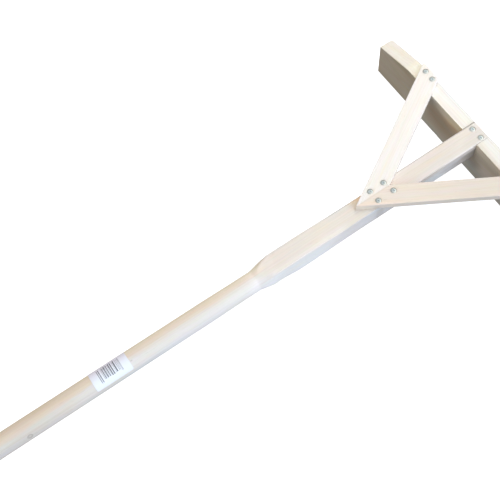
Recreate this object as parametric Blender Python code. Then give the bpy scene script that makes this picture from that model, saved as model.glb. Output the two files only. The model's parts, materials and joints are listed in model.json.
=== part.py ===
"""Wooden lute (concrete rake) with a braced head.

A softwood board stands on its long edge. A long handle, square at the head and turned round behind it, is let into
a notch in the board's top edge. Two flat braces lie on top of the handle and the board, meet in a mitre just left
of the handle's centreline, and run out to the board's front face. Countersunk screws with cross recesses hold them.

Metres, +Z up. Origin: centre of the board's bottom (working) edge. +Y points from the user to the board's front
face, +X to the user's right. "Back" distances run towards -Y from the board's inner face.
"""

import math
from itertools import pairwise

import bmesh
import bpy
from mathutils import Matrix, Vector

MM = 0.001
GAP = 0.3 * MM  # clearance between touching pieces

# ---------------------------------------------------------------- board
BOARD_LENGTH = 400.0 * MM
BOARD_HEIGHT = 75.0 * MM
BOARD_THICKNESS = 22.0 * MM
BOARD_END_HEIGHT = 60.5 * MM  # height left at the two ends, below the slope
BOARD_FLAT_HALF = 135.0 * MM  # the top edge is level this far from the middle
BOARD_ARRIS = 0.8 * MM  # eased edges
EDGE_TOLERANCE = 0.1 * MM  # for picking edges by their place
INNER_Y = -BOARD_THICKNESS / 2
FRONT_Y = BOARD_THICKNESS / 2
FRONT_RECESS = 0.4 * MM  # handle and brace ends stay this far behind the board's front face

# ---------------------------------------------------------------- handle
HANDLE_SIDE = 30.0 * MM  # square part
HANDLE_HALF = HANDLE_SIDE / 2
HANDLE_ROUND_R = HANDLE_HALF  # turned part
HANDLE_LENGTH = 1500.0 * MM  # from the board's front face to the butt
HANDLE_AXIS_Z = BOARD_HEIGHT - HANDLE_HALF
CORNER_R = 1.0 * MM  # radius on the square part's long corners
FRONT_CORNER_CUT = 0.2 * MM  # taken off the corners at the front end ...
FRONT_CORNER_LENGTH = 0.5 * MM  # ... fading out over this length
SWELL = 0.45 * MM  # the square part grows by this on each side ...
SWELL_FROM = 190.0 * MM  # ... from this far back ...
SWELL_TO = 290.0 * MM  # ... to here
TWIST = math.radians(4.0)  # turn about the axis over the same stretch
LEAD_IN = 1.9 * MM  # most taken off the lower right corner, at SQUARE_TO
LEAD_IN_FROM = 292.0 * MM
LEAD_IN_TO = 350.0 * MM
LEAD_IN_FOCUS = 16  # a higher power keeps the lead-in closer to the corner
SQUARE_TO = 325.0 * MM  # the turning tool starts to cut in here
ROUND_FROM = 356.0 * MM  # fully round from here on
TURNING_STEPS = 8  # from SQUARE_TO to ROUND_FROM
TURNING_STRAIGHT = 0.65  # straight share of the tool's path there; the rest is a smooth S
WAIST = 0.45 * MM  # the turned part starts this much under its radius ...
WAIST_FROM = 378.0 * MM  # ... fills out from here ...
WAIST_TO = 436.0 * MM  # ... and has all of it from here on
BUTT_R = 7.0 * MM  # rounding at the user's end
BUTT_STEPS = 5
# Cross-section stations in millimetres back
SQUARE_STATIONS = (190, 210, 230, 250, 270, 290, 300, 308, 316)
WAIST_STATIONS = (378, 392, 407, 422, 436)

NOTCH_WIDTH = HANDLE_SIDE + 2 * GAP
NOTCH_DEPTH = HANDLE_SIDE + GAP

# ---------------------------------------------------------------- braces
BRACE_WIDTH = 29.0 * MM
BRACE_THICKNESS = 9.5 * MM
BRACE_ANGLE = math.radians(31.0)  # between a brace and the handle
BRACE_MITRE_X = -1.2 * MM
BRACE_REACH = 98.6 * MM  # from the mitre's x to a brace's centreline at the board's inner face
BRACE_ARRIS = 0.6 * MM  # lower long edges and front end
BRACE_TOP_ARRIS = 0.9 * MM  # radius of the long top edges
BRACE_ARRIS_STEPS = 4
BRACE_BOTTOM = BOARD_HEIGHT + GAP
BRACE_TOP = BRACE_BOTTOM + BRACE_THICKNESS

# ---------------------------------------------------------------- screws
SCREW_HEAD_R = 4.05 * MM
SCREW_HEAD_RIM = 0.35 * MM  # depth of the head's rim, above the cone
SCREW_HEAD_EDGE = 0.15 * MM  # the rim's upper edge is broken by this inwards ...
SCREW_HEAD_EDGE_DEPTH = 0.12 * MM  # ... and by this downwards
SCREW_CONE = 2.6 * MM  # height of the countersunk cone
SCREW_SHANK_R = 1.65 * MM  # plain shank under the head
SCREW_PLAIN_SHARE = 0.35  # share of the length without a thread
SCREW_THREAD_R = 2.25 * MM  # outside of the thread
SCREW_THREAD_START = 0.8 * MM  # length over which the thread rises
SCREW_POINT = 5.0 * MM  # length of the point
SCREW_SUNK = 0.25 * MM  # head below the wood's surface
SCREW_SEGMENTS = 20

HOLE_ABOVE = 3.0 * MM  # the hole's cutter stands this far out of the wood
HOLE_RIM_EXTRA = 0.15 * MM  # the countersink's straight part goes this much below the head's rim
HOLE_CONE_SHARE = 0.86  # height of the countersink's cone over the screw's
HOLE_TIP_R = 0.5 * MM

RECESS_SPAN = 4.5 * MM  # across the cross recess
RECESS_ARM = 1.15 * MM  # width of an arm
# (height above the head, scale of the cross) of the recess's cutter
RECESS_LEVELS = ((1.0 * MM, 1.15), (0.0, 1.0), (-1.7 * MM, 0.5))

# name, x in mm, y in mm from the board's inner face, surface height, length in mm, recess angle in degrees
SCREWS = [
    ("screw_brace_left_board_outer", -115.2, 13.8, BRACE_TOP, 45.0, 20.0),
    ("screw_brace_left_board_inner", -99.6, 13.1, BRACE_TOP, 45.0, 71.0),
    ("screw_brace_right_board_outer", 112.9, 13.4, BRACE_TOP, 45.0, 5.0),
    ("screw_brace_right_board_inner", 97.3, 13.2, BRACE_TOP, 45.0, 48.0),
    ("screw_brace_left_handle_front", -8.7, -141.1, BRACE_TOP, 35.0, 33.0),
    ("screw_brace_left_handle_rear", -8.1, -163.4, BRACE_TOP, 35.0, 80.0),
    ("screw_brace_right_handle_front", 8.5, -137.3, BRACE_TOP, 35.0, 12.0),
    ("screw_brace_right_handle_rear", 8.8, -162.4, BRACE_TOP, 35.0, 57.0),
    ("screw_handle_board_left", -7.5, 11.2, BOARD_HEIGHT, 60.0, 28.0),
    ("screw_handle_board_right", 9.4, 11.7, BOARD_HEIGHT, 60.0, 63.0),
]

# ---------------------------------------------------------------- label
LABEL_LENGTH = 53.5 * MM
LABEL_NEAR = 549.4 * MM  # front edge, measured back
LABEL_FROM = math.radians(27.0)  # from +X towards +Z, round the handle's axis
LABEL_TO = math.radians(170.0)
LABEL_THICKNESS = 0.3 * MM
LABEL_CORNER = 2.5 * MM
LABEL_CORNER_STEPS = 4
LABEL_STRIPS = 20  # round the arc


# ================================================================ helpers
def clear_scene():
    for obj in list(bpy.data.objects):
        bpy.data.objects.remove(obj)


def principled(name, colour, roughness, metallic=0.0):
    mat = bpy.data.materials.new(name)
    mat.use_nodes = True
    shader = mat.node_tree.nodes["Principled BSDF"]
    shader.inputs["Base Color"].default_value = (*colour, 1.0)
    shader.inputs["Roughness"].default_value = roughness
    shader.inputs["Metallic"].default_value = metallic
    return mat


def new_object(name, bm, mat=None, smooth_below=None):
    """Turns bm into an object; edges flatter than smooth_below degrees are shaded smooth."""
    bmesh.ops.recalc_face_normals(bm, faces=bm.faces[:])
    mesh = bpy.data.meshes.new(name)
    bm.to_mesh(mesh)
    bm.free()
    if mat is not None:
        mesh.materials.append(mat)
    if smooth_below is not None:
        mesh.shade_smooth()
        mesh.set_sharp_from_angle(angle=math.radians(smooth_below))
    obj = bpy.data.objects.new(name, mesh)
    bpy.context.scene.collection.objects.link(obj)
    return obj


def loft(bm, rings):
    """Closed skin through rings of equally many points, capped flat. The last ring may be one point."""
    rows = [[bm.verts.new(point) for point in ring] for ring in rings]
    count = len(rows[0])
    for row, following in pairwise(rows):
        for i in range(count):
            j = (i + 1) % count
            if len(following) == 1:
                bm.faces.new((row[i], row[j], following[0]))
            else:
                bm.faces.new((row[i], row[j], following[j], following[i]))
    bm.faces.new(rows[0])
    if len(rows[-1]) > 1:
        bm.faces.new(list(reversed(rows[-1])))


def turned(bm, profile, centre=(0.0, 0.0), top_z=0.0):
    """A solid turned about +Z from (radius, depth below top_z) pairs. A last radius of 0 is a point."""
    rings = []
    for radius, depth in profile:
        count = SCREW_SEGMENTS if radius > 0.0 else 1
        angles = [math.tau * k / SCREW_SEGMENTS for k in range(count)]
        rings.append(
            [
                (
                    centre[0] + radius * math.cos(angle),
                    centre[1] + radius * math.sin(angle),
                    top_z - depth,
                )
                for angle in angles
            ]
        )
    loft(bm, rings)


def cut(obj, name, bm):
    """Cuts bm's solids out of obj. The cutter stays in the file and is not part of the tool."""
    cutter = new_object(name, bm)
    cutter.hide_render = True
    cutter.display_type = "WIRE"
    modifier = obj.modifiers.new(name, "BOOLEAN")
    modifier.operation = "DIFFERENCE"
    modifier.solver = "EXACT"
    modifier.object = cutter
    return cutter


def ease(value, start, end):
    """0 up to start, 1 from end on, and a smooth step in between."""
    t = min(max((value - start) / (end - start), 0.0), 1.0)
    return t * t * (3 - 2 * t)


# ================================================================ screws
def screw_place(x, y):
    return (x * MM, INNER_Y + y * MM)


def screw_profile(length):
    """Head with a short rim, countersunk cone, plain shank, then the thread's outside down to the point."""
    plain = SCREW_PLAIN_SHARE * length
    return [
        (SCREW_HEAD_R - SCREW_HEAD_EDGE, 0.0),
        (SCREW_HEAD_R, SCREW_HEAD_EDGE_DEPTH),
        (SCREW_HEAD_R, SCREW_HEAD_RIM),
        (SCREW_SHANK_R, SCREW_HEAD_RIM + SCREW_CONE),
        (SCREW_SHANK_R, plain),
        (SCREW_THREAD_R, plain + SCREW_THREAD_START),
        (SCREW_THREAD_R, length - SCREW_POINT),
        (0.0, length),
    ]


def hole_profile(length):
    """The screw's own room: a countersink and a bore with clearance, open at the surface."""
    rim = SCREW_SUNK + SCREW_HEAD_RIM + HOLE_RIM_EXTRA
    tip = SCREW_SUNK + length
    return [
        (SCREW_HEAD_R + GAP, -HOLE_ABOVE),
        (SCREW_HEAD_R + GAP, rim),
        (SCREW_THREAD_R + GAP, rim + SCREW_CONE * HOLE_CONE_SHARE),
        (SCREW_THREAD_R + GAP, tip - SCREW_POINT + GAP),
        (HOLE_TIP_R, tip + 2 * GAP),
    ]


def recess_ring(angle, z, scale):
    """Outline of the cross at height z."""
    half = RECESS_SPAN / 2 * scale
    arm = RECESS_ARM / 2 * scale
    ring = []
    for quarter in range(4):
        turn = Matrix.Rotation(angle + quarter * math.pi / 2, 3, "Z")
        for x, y in ((half, -arm), (half, arm), (arm, arm)):
            ring.append(turn @ Vector((x, y, z)))
    return ring


def make_screw(name, x, y, surface_z, length, angle, mat):
    """A screw with its origin at the top of its head."""
    body = bmesh.new()
    turned(body, screw_profile(length * MM))
    obj = new_object(name, body, mat, smooth_below=40)
    obj.location = (*screw_place(x, y), surface_z - SCREW_SUNK)

    recess = bmesh.new()
    loft(recess, [recess_ring(math.radians(angle), z, scale) for z, scale in RECESS_LEVELS])
    cutter = cut(obj, "recess_" + name, recess)
    cutter.location = obj.location
    return obj


def drill(obj, part):
    """Makes the holes of all the screws that have part in their name."""
    holes = bmesh.new()
    for name, x, y, surface_z, length, _ in SCREWS:
        if part in name:
            turned(holes, hole_profile(length * MM), screw_place(x, y), surface_z)
    cut(obj, "holes_" + part, holes)


# ================================================================ handle
def handle_angles():
    """Directions round the axis: even steps, and three points close together on each corner."""
    quarter_turn = math.pi / 2
    step = quarter_turn / 8
    edge = math.atan2(HANDLE_HALF - CORNER_R, HANDLE_HALF)  # where a flat ends
    angles = []
    for quarter in range(4):
        base = quarter * quarter_turn
        angles += [base + k * step for k in range(4)]
        angles += [base + edge, base + quarter_turn / 2, base + quarter_turn - edge]
        angles += [base + k * step for k in range(5, 8)]
    return angles


def square_radius(angle):
    """Distance from the axis to a square with rounded corners."""
    c = abs(math.cos(angle))
    s = abs(math.sin(angle))
    flat = HANDLE_HALF / max(c, s)
    inner = HANDLE_HALF - CORNER_R  # the corner's centre is at (inner, inner)
    if flat * min(c, s) <= inner:
        return flat
    along = inner * (c + s)
    return along + math.sqrt(along**2 - 2 * inner**2 + CORNER_R**2)


def handle_ring(y, turning_radius):
    """Cross-section at y: the square, cut down by the turning tool where that is smaller."""
    back = INNER_Y - y
    grown = ease(back, SWELL_FROM, SWELL_TO)
    scale = 1 + SWELL * grown / HANDLE_HALF
    lead_in = LEAD_IN * min(
        ease(back, LEAD_IN_FROM, SQUARE_TO), 1 - ease(back, SQUARE_TO, LEAD_IN_TO)
    )
    ring = []
    for angle in handle_angles():
        near_corner = max(math.cos(angle + math.pi / 4), 0.0)  # 1 on the lower right corner
        radius = square_radius(angle) * scale - lead_in * near_corner**LEAD_IN_FOCUS
        radius = min(radius, turning_radius)
        twisted = angle + TWIST * grown
        ring.append(
            (radius * math.cos(twisted), y, HANDLE_AXIS_Z + radius * math.sin(twisted))
        )
    return ring


def make_handle(mat):
    corner = square_radius(math.pi / 4)
    clear = corner + SWELL * 1.5  # turning radius outside the swollen corners
    waist_r = HANDLE_ROUND_R - WAIST
    front = FRONT_Y - FRONT_RECESS
    butt = FRONT_Y - HANDLE_LENGTH

    # Square part
    rings = [
        handle_ring(front, corner - FRONT_CORNER_CUT),
        handle_ring(front - FRONT_CORNER_LENGTH, clear),
    ]
    for back in SQUARE_STATIONS:
        rings.append(handle_ring(INNER_Y - back * MM, clear))
    # The turning tool cuts in along a gentle S, so the corners fade out.
    for k in range(TURNING_STEPS + 1):
        t = k / TURNING_STEPS
        cut_in = TURNING_STRAIGHT * t + (1 - TURNING_STRAIGHT) * ease(t, 0.0, 1.0)
        y = INNER_Y - SQUARE_TO - (ROUND_FROM - SQUARE_TO) * t
        rings.append(handle_ring(y, clear + (waist_r - clear) * cut_in))
    # Waist, filling out to the full radius
    for back in WAIST_STATIONS:
        radius = waist_r + WAIST * ease(back * MM, WAIST_FROM, WAIST_TO)
        rings.append(handle_ring(INNER_Y - back * MM, radius))
    # Rounded butt
    for k in range(BUTT_STEPS + 1):
        a = math.pi / 2 * k / BUTT_STEPS
        rings.append(
            handle_ring(
                butt + BUTT_R * (1 - math.sin(a)),
                HANDLE_ROUND_R - BUTT_R * (1 - math.cos(a)),
            )
        )

    bm = bmesh.new()
    loft(bm, rings)
    obj = new_object("handle", bm, mat, smooth_below=35)
    drill(obj, "handle")
    return obj


# ================================================================ board
def board_edge_is_eased(edge):
    """All but the notch's own edges and the shallow ones where the top's slopes begin."""
    a, b = (v.co for v in edge.verts)
    in_notch = max(abs(a.x), abs(b.x)) < NOTCH_WIDTH / 2 + EDGE_TOLERANCE
    at_slope = (
        abs(a.y - b.y) > EDGE_TOLERANCE
        and abs(abs(a.x) - BOARD_FLAT_HALF) < EDGE_TOLERANCE
    )
    return not in_notch and not at_slope


def make_board(mat):
    half = BOARD_LENGTH / 2
    notch = NOTCH_WIDTH / 2
    notch_floor = BOARD_HEIGHT - NOTCH_DEPTH
    # x, z, seen from the inner face
    outline = [
        (-half, 0.0),
        (half, 0.0),
        (half, BOARD_END_HEIGHT),
        (BOARD_FLAT_HALF, BOARD_HEIGHT),
        (notch, BOARD_HEIGHT),
        (notch, notch_floor),
        (-notch, notch_floor),
        (-notch, BOARD_HEIGHT),
        (-BOARD_FLAT_HALF, BOARD_HEIGHT),
        (-half, BOARD_END_HEIGHT),
    ]
    bm = bmesh.new()
    face = bm.faces.new([bm.verts.new((x, INNER_Y, z)) for x, z in outline])
    extruded = bmesh.ops.extrude_face_region(bm, geom=[face])["geom"]
    bmesh.ops.translate(
        bm,
        vec=Vector((0.0, BOARD_THICKNESS, 0.0)),
        verts=[item for item in extruded if isinstance(item, bmesh.types.BMVert)],
    )
    bmesh.ops.bevel(
        bm,
        geom=[edge for edge in bm.edges if board_edge_is_eased(edge)],
        offset=BOARD_ARRIS,
        segments=1,
        profile=0.5,
        affect="EDGES",
    )
    obj = new_object("blade_board", bm, mat)
    drill(obj, "board")
    return obj


# ================================================================ braces
def brace_section(inset):
    """Cross-section as (across, z) points, made smaller all round by inset."""
    half = BRACE_WIDTH / 2 - inset
    low = BRACE_BOTTOM + inset
    high = BRACE_TOP - inset
    points = [
        (-half + BRACE_ARRIS, low),
        (half - BRACE_ARRIS, low),
        (half, low + BRACE_ARRIS),
    ]
    radius = BRACE_TOP_ARRIS
    for centre, start in ((half - radius, 0.0), (radius - half, math.pi / 2)):
        for k in range(BRACE_ARRIS_STEPS + 1):
            a = start + math.pi / 2 * k / BRACE_ARRIS_STEPS
            points.append((centre + radius * math.cos(a), high - radius + radius * math.sin(a)))
    points.append((-half, low + BRACE_ARRIS))
    return points


def make_brace(name, side, mat):
    """A straight bar from the mitre to the board's front face. side is -1 for left, 1 for right."""
    slope = math.tan(BRACE_ANGLE)
    front = BOARD_THICKNESS - FRONT_RECESS

    def ring(inset, end_point):
        """end_point gives (x from the mitre, y from the inner face) on the line with that reach."""
        points = []
        for across, z in brace_section(inset):
            x, y = end_point(BRACE_REACH + across / math.cos(BRACE_ANGLE))
            points.append((BRACE_MITRE_X + side * x, INNER_Y + y, z))
        return points

    def mitre_ring():
        x = GAP / 2
        return ring(0.0, lambda reach: (x, (x - reach) / slope))

    def front_ring(y, inset):
        return ring(inset, lambda reach: (reach + y * slope, y))

    bm = bmesh.new()
    loft(bm, [mitre_ring(), front_ring(front - BRACE_ARRIS, 0.0), front_ring(front, BRACE_ARRIS)])
    obj = new_object(name, bm, mat, smooth_below=35)
    drill(obj, name)
    return obj


# ================================================================ label
def label_stations():
    """Distances from the label's front edge, closer together in the rounded corners."""
    corner = [
        LABEL_CORNER * (1 - math.cos(math.pi / 2 * k / LABEL_CORNER_STEPS))
        for k in range(LABEL_CORNER_STEPS + 1)
    ]
    return corner + [LABEL_LENGTH - distance for distance in reversed(corner)]


def label_sheet(bm, radius):
    """Rows of vertices, one row round the arc for each station."""
    inner_r = HANDLE_ROUND_R + GAP
    centre_angle = (LABEL_FROM + LABEL_TO) / 2
    half_arc = (LABEL_TO - LABEL_FROM) / 2 * inner_r
    rows = []
    for station in label_stations():
        from_end = min(station, LABEL_LENGTH - station)
        into_corner = max(LABEL_CORNER - from_end, 0.0)
        half_width = half_arc - LABEL_CORNER + math.sqrt(LABEL_CORNER**2 - into_corner**2)
        half_angle = half_width / inner_r
        y = INNER_Y - LABEL_NEAR - station
        row = []
        for k in range(LABEL_STRIPS + 1):
            a = centre_angle - half_angle + 2 * half_angle * k / LABEL_STRIPS
            row.append(
                bm.verts.new((radius * math.cos(a), y, HANDLE_AXIS_Z + radius * math.sin(a)))
            )
        rows.append(row)
    return rows


def make_label(mat):
    """A thin curved sheet with rounded corners, on the handle's round part."""
    bm = bmesh.new()
    inner_r = HANDLE_ROUND_R + GAP
    inner = label_sheet(bm, inner_r)
    outer = label_sheet(bm, inner_r + LABEL_THICKNESS)
    last = len(inner) - 1
    for i in range(last):
        for k in range(LABEL_STRIPS):
            for sheet in (inner, outer):
                bm.faces.new(
                    (sheet[i][k], sheet[i][k + 1], sheet[i + 1][k + 1], sheet[i + 1][k])
                )
        for k in (0, LABEL_STRIPS):
            bm.faces.new((inner[i][k], inner[i + 1][k], outer[i + 1][k], outer[i][k]))
    for i in (0, last):
        for k in range(LABEL_STRIPS):
            bm.faces.new((inner[i][k], outer[i][k], outer[i][k + 1], inner[i][k + 1]))
    return new_object("barcode_label", bm, mat, smooth_below=40)


# ================================================================ assembly
def main():
    clear_scene()
    handle_wood = principled("pale_softwood_handle", colour=(0.86, 0.76, 0.62), roughness=0.55)
    board_wood = principled("pale_softwood_board", colour=(0.84, 0.73, 0.58), roughness=0.6)
    brace_wood = principled("pale_softwood_brace", colour=(0.88, 0.80, 0.67), roughness=0.55)
    zinc = principled(
        "zinc_plated_steel", colour=(0.62, 0.65, 0.64), roughness=0.35, metallic=1.0
    )
    paper = principled("white_label_paper", colour=(0.93, 0.94, 0.95), roughness=0.5)

    tool = bpy.data.objects.new("lute", None)
    bpy.context.scene.collection.objects.link(tool)
    pieces = [
        make_handle(handle_wood),
        make_board(board_wood),
        make_brace("brace_left", -1, brace_wood),
        make_brace("brace_right", 1, brace_wood),
        make_label(paper),
    ]
    pieces += [make_screw(*row, zinc) for row in SCREWS]
    for piece in pieces:
        piece.parent = tool


main()
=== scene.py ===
"""A wooden blade board on a long handle, with two braces, zinc screws and a barcode label.

The board lies along X and stands on z = 0. The handle is let into a notch in its top and runs
towards -Y, square near the board and turned round further back. The braces lie on the board's
top, either side of the handle: the left one at -X. Metres, +Z up.
"""
import json
import math
from functools import partial

import bmesh
import bpy
import numpy as np
from mathutils import Matrix, Vector, noise

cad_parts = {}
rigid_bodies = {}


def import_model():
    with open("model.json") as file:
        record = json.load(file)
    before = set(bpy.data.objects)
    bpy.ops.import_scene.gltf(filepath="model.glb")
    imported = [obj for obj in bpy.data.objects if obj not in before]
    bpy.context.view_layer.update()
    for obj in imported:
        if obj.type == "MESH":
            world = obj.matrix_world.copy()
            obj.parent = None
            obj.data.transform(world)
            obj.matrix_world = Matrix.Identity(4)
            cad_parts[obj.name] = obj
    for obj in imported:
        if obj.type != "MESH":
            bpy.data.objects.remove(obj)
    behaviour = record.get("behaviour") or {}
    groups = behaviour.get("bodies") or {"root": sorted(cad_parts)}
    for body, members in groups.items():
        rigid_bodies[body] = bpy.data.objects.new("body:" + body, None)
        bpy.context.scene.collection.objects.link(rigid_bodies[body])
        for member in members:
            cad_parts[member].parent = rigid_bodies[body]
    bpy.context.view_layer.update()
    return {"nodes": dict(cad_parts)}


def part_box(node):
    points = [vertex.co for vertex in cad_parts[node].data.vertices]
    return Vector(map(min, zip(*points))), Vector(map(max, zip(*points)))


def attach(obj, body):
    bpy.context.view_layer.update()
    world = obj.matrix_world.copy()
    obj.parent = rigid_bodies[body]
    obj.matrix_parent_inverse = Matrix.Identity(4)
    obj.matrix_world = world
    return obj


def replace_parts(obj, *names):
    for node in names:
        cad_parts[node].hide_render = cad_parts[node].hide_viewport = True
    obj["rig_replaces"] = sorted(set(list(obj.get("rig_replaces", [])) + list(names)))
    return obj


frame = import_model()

MM = 0.001


# ==== Sizes read from the frame ====
BOARD_LO, BOARD_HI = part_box("blade_board")
HANDLE_LO, HANDLE_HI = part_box("handle")
LABEL_LO, LABEL_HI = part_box("barcode_label")

BOARD_HALF = (BOARD_HI.x - BOARD_LO.x) / 2
BOARD_TOP = BOARD_HI.z
INNER_Y, FRONT_Y = BOARD_LO.y, BOARD_HI.y
HANDLE_END, BUTT_Y = HANDLE_HI.y, HANDLE_LO.y
BRACE_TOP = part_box("brace_left")[1].z
BOARD_END_RAISE = 0.45 * MM  # added to the end height read from the CAD board


def cad_points(node):
    mesh = frame["nodes"][node].data
    flat = np.zeros(len(mesh.vertices) * 3, np.float32)
    mesh.vertices.foreach_get("co", flat)
    return flat.reshape(-1, 3).astype(float)


def head_section():
    """Half-side and axis height of the handle where it sits in the board."""
    points = cad_points("handle")
    depth = points[:, 1]
    head = points[(depth > HANDLE_END - 1 * MM) & (depth < HANDLE_END - 0.2 * MM)]
    low, high = head.min(axis=0), head.max(axis=0)
    return float((high[0] - low[0]) / 2), float((high[2] + low[2]) / 2)


def board_profile():
    """Half-length of the level top edge, and height of the ends."""
    points = cad_points("blade_board")
    level = np.abs(points[points[:, 2] > BOARD_TOP - 0.05 * MM][:, 0]).max()
    ends = points[np.abs(points[:, 0]) > BOARD_HALF - 0.05 * MM][:, 2].max()
    return float(level), float(ends)


def notch_profile():
    """Half-width and floor height of the notch that takes the handle."""
    points = cad_points("blade_board")
    near = points[np.abs(points[:, 0]) < HANDLE_HALF + 2 * MM]
    near = near[(near[:, 2] > 20 * MM) & (near[:, 2] < BOARD_TOP - 5 * MM)]
    wall = near[np.abs(near[:, 0]) > HANDLE_HALF]
    return float(np.abs(wall[:, 0]).min()), float(wall[:, 2].min())


HANDLE_HALF, AXIS_Z = head_section()
BOARD_FLAT, BOARD_END_Z = board_profile()
BOARD_END_Z += BOARD_END_RAISE
NOTCH_HALF, NOTCH_FLOOR = notch_profile()

SCREWS = {}  # node: x, y, top, length
for node in sorted(name for name in frame["nodes"] if name.startswith("screw_")):
    lo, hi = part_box(node)
    SCREWS[node] = ((lo.x + hi.x) / 2, (lo.y + hi.y) / 2, hi.z, hi.z - lo.z)
    HEAD_R = (hi.x - lo.x) / 2
SUNK = 0.25 * MM  # the screw heads' depth below the wood


# ==== Mesh helpers ====
def add_object(name, mesh, materials=()):
    obj = bpy.data.objects.new(name, mesh)
    bpy.context.scene.collection.objects.link(obj)
    for material in materials:
        mesh.materials.append(material)
    return obj


def smooth(mesh, sharp):
    mesh.shade_smooth()
    mesh.set_sharp_from_angle(angle=math.radians(sharp))


def mesh_from(solid, name, sharp):
    bmesh.ops.recalc_face_normals(solid, faces=solid.faces[:])
    mesh = bpy.data.meshes.new(name)
    solid.to_mesh(mesh)
    solid.free()
    smooth(mesh, sharp)
    return mesh


def slices(solid, direction, positions):
    """Cuts every face along parallel planes, so that there are points to shape."""
    normal = Vector(direction)
    for position in positions:
        bmesh.ops.bisect_plane(
            solid,
            geom=solid.verts[:] + solid.edges[:] + solid.faces[:],
            dist=1e-7,
            plane_co=normal * position,
            plane_no=normal,
        )


def steps(start, end, step):
    """Even divisions strictly between two ends, about one step apart."""
    count = max(1, int(round((end - start) / step)))
    return [start + (end - start) * k / count for k in range(1, count)]


def countdown(value, stop, step):
    """Values falling by a step, for as long as they stay above the stop."""
    while value > stop:
        yield value
        value -= step


def bevel_edges(solid, chosen, width, segments):
    edges = [edge for edge in solid.edges if chosen(edge)]
    bmesh.ops.bevel(
        solid, geom=edges, offset=width, segments=segments, profile=0.5, affect="EDGES",
        clamp_overlap=True,
    )


def skin(solid, rows, flip=False):
    """Joins successive closed rings of vertices with quads."""
    for ring, following in zip(rows, rows[1:]):
        for i in range(len(ring)):
            j = (i + 1) % len(ring)
            quad = (ring[i], ring[j], following[j], following[i])
            solid.faces.new((quad[0], *quad[:0:-1]) if flip else quad)


def close_ends(solid, rows):
    solid.faces.new(rows[0])
    solid.faces.new(list(reversed(rows[-1])))


def boolean_cut(mesh, cutter, name, sharp):
    """The mesh minus the cutter, as a new mesh."""
    bmesh.ops.recalc_face_normals(cutter, faces=cutter.faces[:])
    cutter_mesh = bpy.data.meshes.new("cut")
    cutter.to_mesh(cutter_mesh)
    cutter.free()
    body = add_object("tmp_body", mesh)
    tool = add_object("tmp_cutter", cutter_mesh)
    modifier = body.modifiers.new("cut", "BOOLEAN")
    modifier.operation, modifier.solver, modifier.object = "DIFFERENCE", "EXACT", tool
    bpy.context.view_layer.update()
    graph = bpy.context.evaluated_depsgraph_get()
    made = bpy.data.meshes.new_from_object(
        body.evaluated_get(graph), preserve_all_data_layers=True, depsgraph=graph
    )
    made.name = name
    bpy.data.objects.remove(body)
    bpy.data.objects.remove(tool)
    smooth(made, sharp)
    return made


def screw_hole(solid, centre_x, centre_y, surface, depth, segments=40):
    """A turned cutter for a countersunk pilot hole, open at the surface."""
    profile = (  # radius, height above the surface
        (HEAD_R + 0.12 * MM, 3.0 * MM),
        (HEAD_R + 0.12 * MM, -0.72 * MM),
        (2.5 * MM, -2.95 * MM),
        (2.5 * MM, -depth + 5 * MM),
        (0.5 * MM, -depth - 0.6 * MM),
    )
    rows = []
    for radius, z in profile:
        ring = []
        for k in range(segments):
            angle = math.tau * k / segments
            x = centre_x + radius * math.cos(angle)
            y = centre_y + radius * math.sin(angle)
            ring.append(solid.verts.new((x, y, surface + z)))
        rows.append(ring)
    solid.faces.new(rows[0])
    skin(solid, rows, flip=True)
    solid.faces.new(list(reversed(rows[-1])))


def drilled(mesh, word, name, sharp):
    """The mesh with holes for the screws whose node name holds the word."""
    cutter = bmesh.new()
    for node, (x, y, top, length) in SCREWS.items():
        if word in node:
            screw_hole(cutter, x, y, top + SUNK, length + SUNK)
    return boolean_cut(mesh, cutter, name, sharp)


def float_attribute(mesh, name, values):
    attribute = mesh.attributes.new(name, "FLOAT", "POINT")
    attribute.data.foreach_set("value", np.asarray(values, np.float32))


def add_marks(mesh, marks):
    """Stores wear and grime, which marks() gives for a point."""
    wear, grime = zip(*(marks(vert.co) for vert in mesh.vertices))
    float_attribute(mesh, "wear", np.minimum(wear, 1.0))
    float_attribute(mesh, "grime", np.minimum(grime, 1.0))


def fade(distance, reach):
    """1 at no distance, falling evenly to 0 at the reach."""
    return max(0.0, 1 - distance / reach)


def ease(value, start, end):
    share = min(max((value - start) / (end - start), 0.0), 1.0)
    return share * share * (3 - 2 * share)


def screw_grime(point):
    """Dust and bruised fibres close round the screw heads and down their holes."""
    best = 0.0
    for x, y, top, _ in SCREWS.values():
        if abs(point.x - x) < 8 * MM and abs(point.y - y) < 8 * MM:
            radius = math.hypot(point.x - x, point.y - y)
            dirt = fade(max(0.0, radius - HEAD_R), 1.6 * MM)
            if point.z < top - 0.5 * MM:
                dirt = max(dirt, 0.9)
            best = max(best, 0.5 * dirt)
    return best


def dented(push, point, dents):
    """Lowers a push outwards by the dents, each given as x, y, z, radius, depth."""
    for x, y, z, radius, depth in dents:
        share = (point - Vector((x, y, z))).length / radius
        if share < 1:
            push -= depth * (1 - share * share) ** 2
    return push


def weather(solid, seed, amount, fibre, dents):
    """Moves points along their normals: a slow wander, faint plane marks, and a few dents."""
    solid.normal_update()
    fibre = Vector(fibre)
    for vert in solid.verts:
        point = vert.co
        along = point.dot(fibre)
        across = point - fibre * along
        stretched = fibre * along * 6.0 + across * 60.0
        push = amount * noise.noise(stretched + Vector((seed, seed * 1.7, -seed)))
        push += 0.35 * amount * noise.noise(point * 240.0 + Vector((seed, 0, 0)))
        vert.co = point + vert.normal * dented(push, point, dents)


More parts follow.
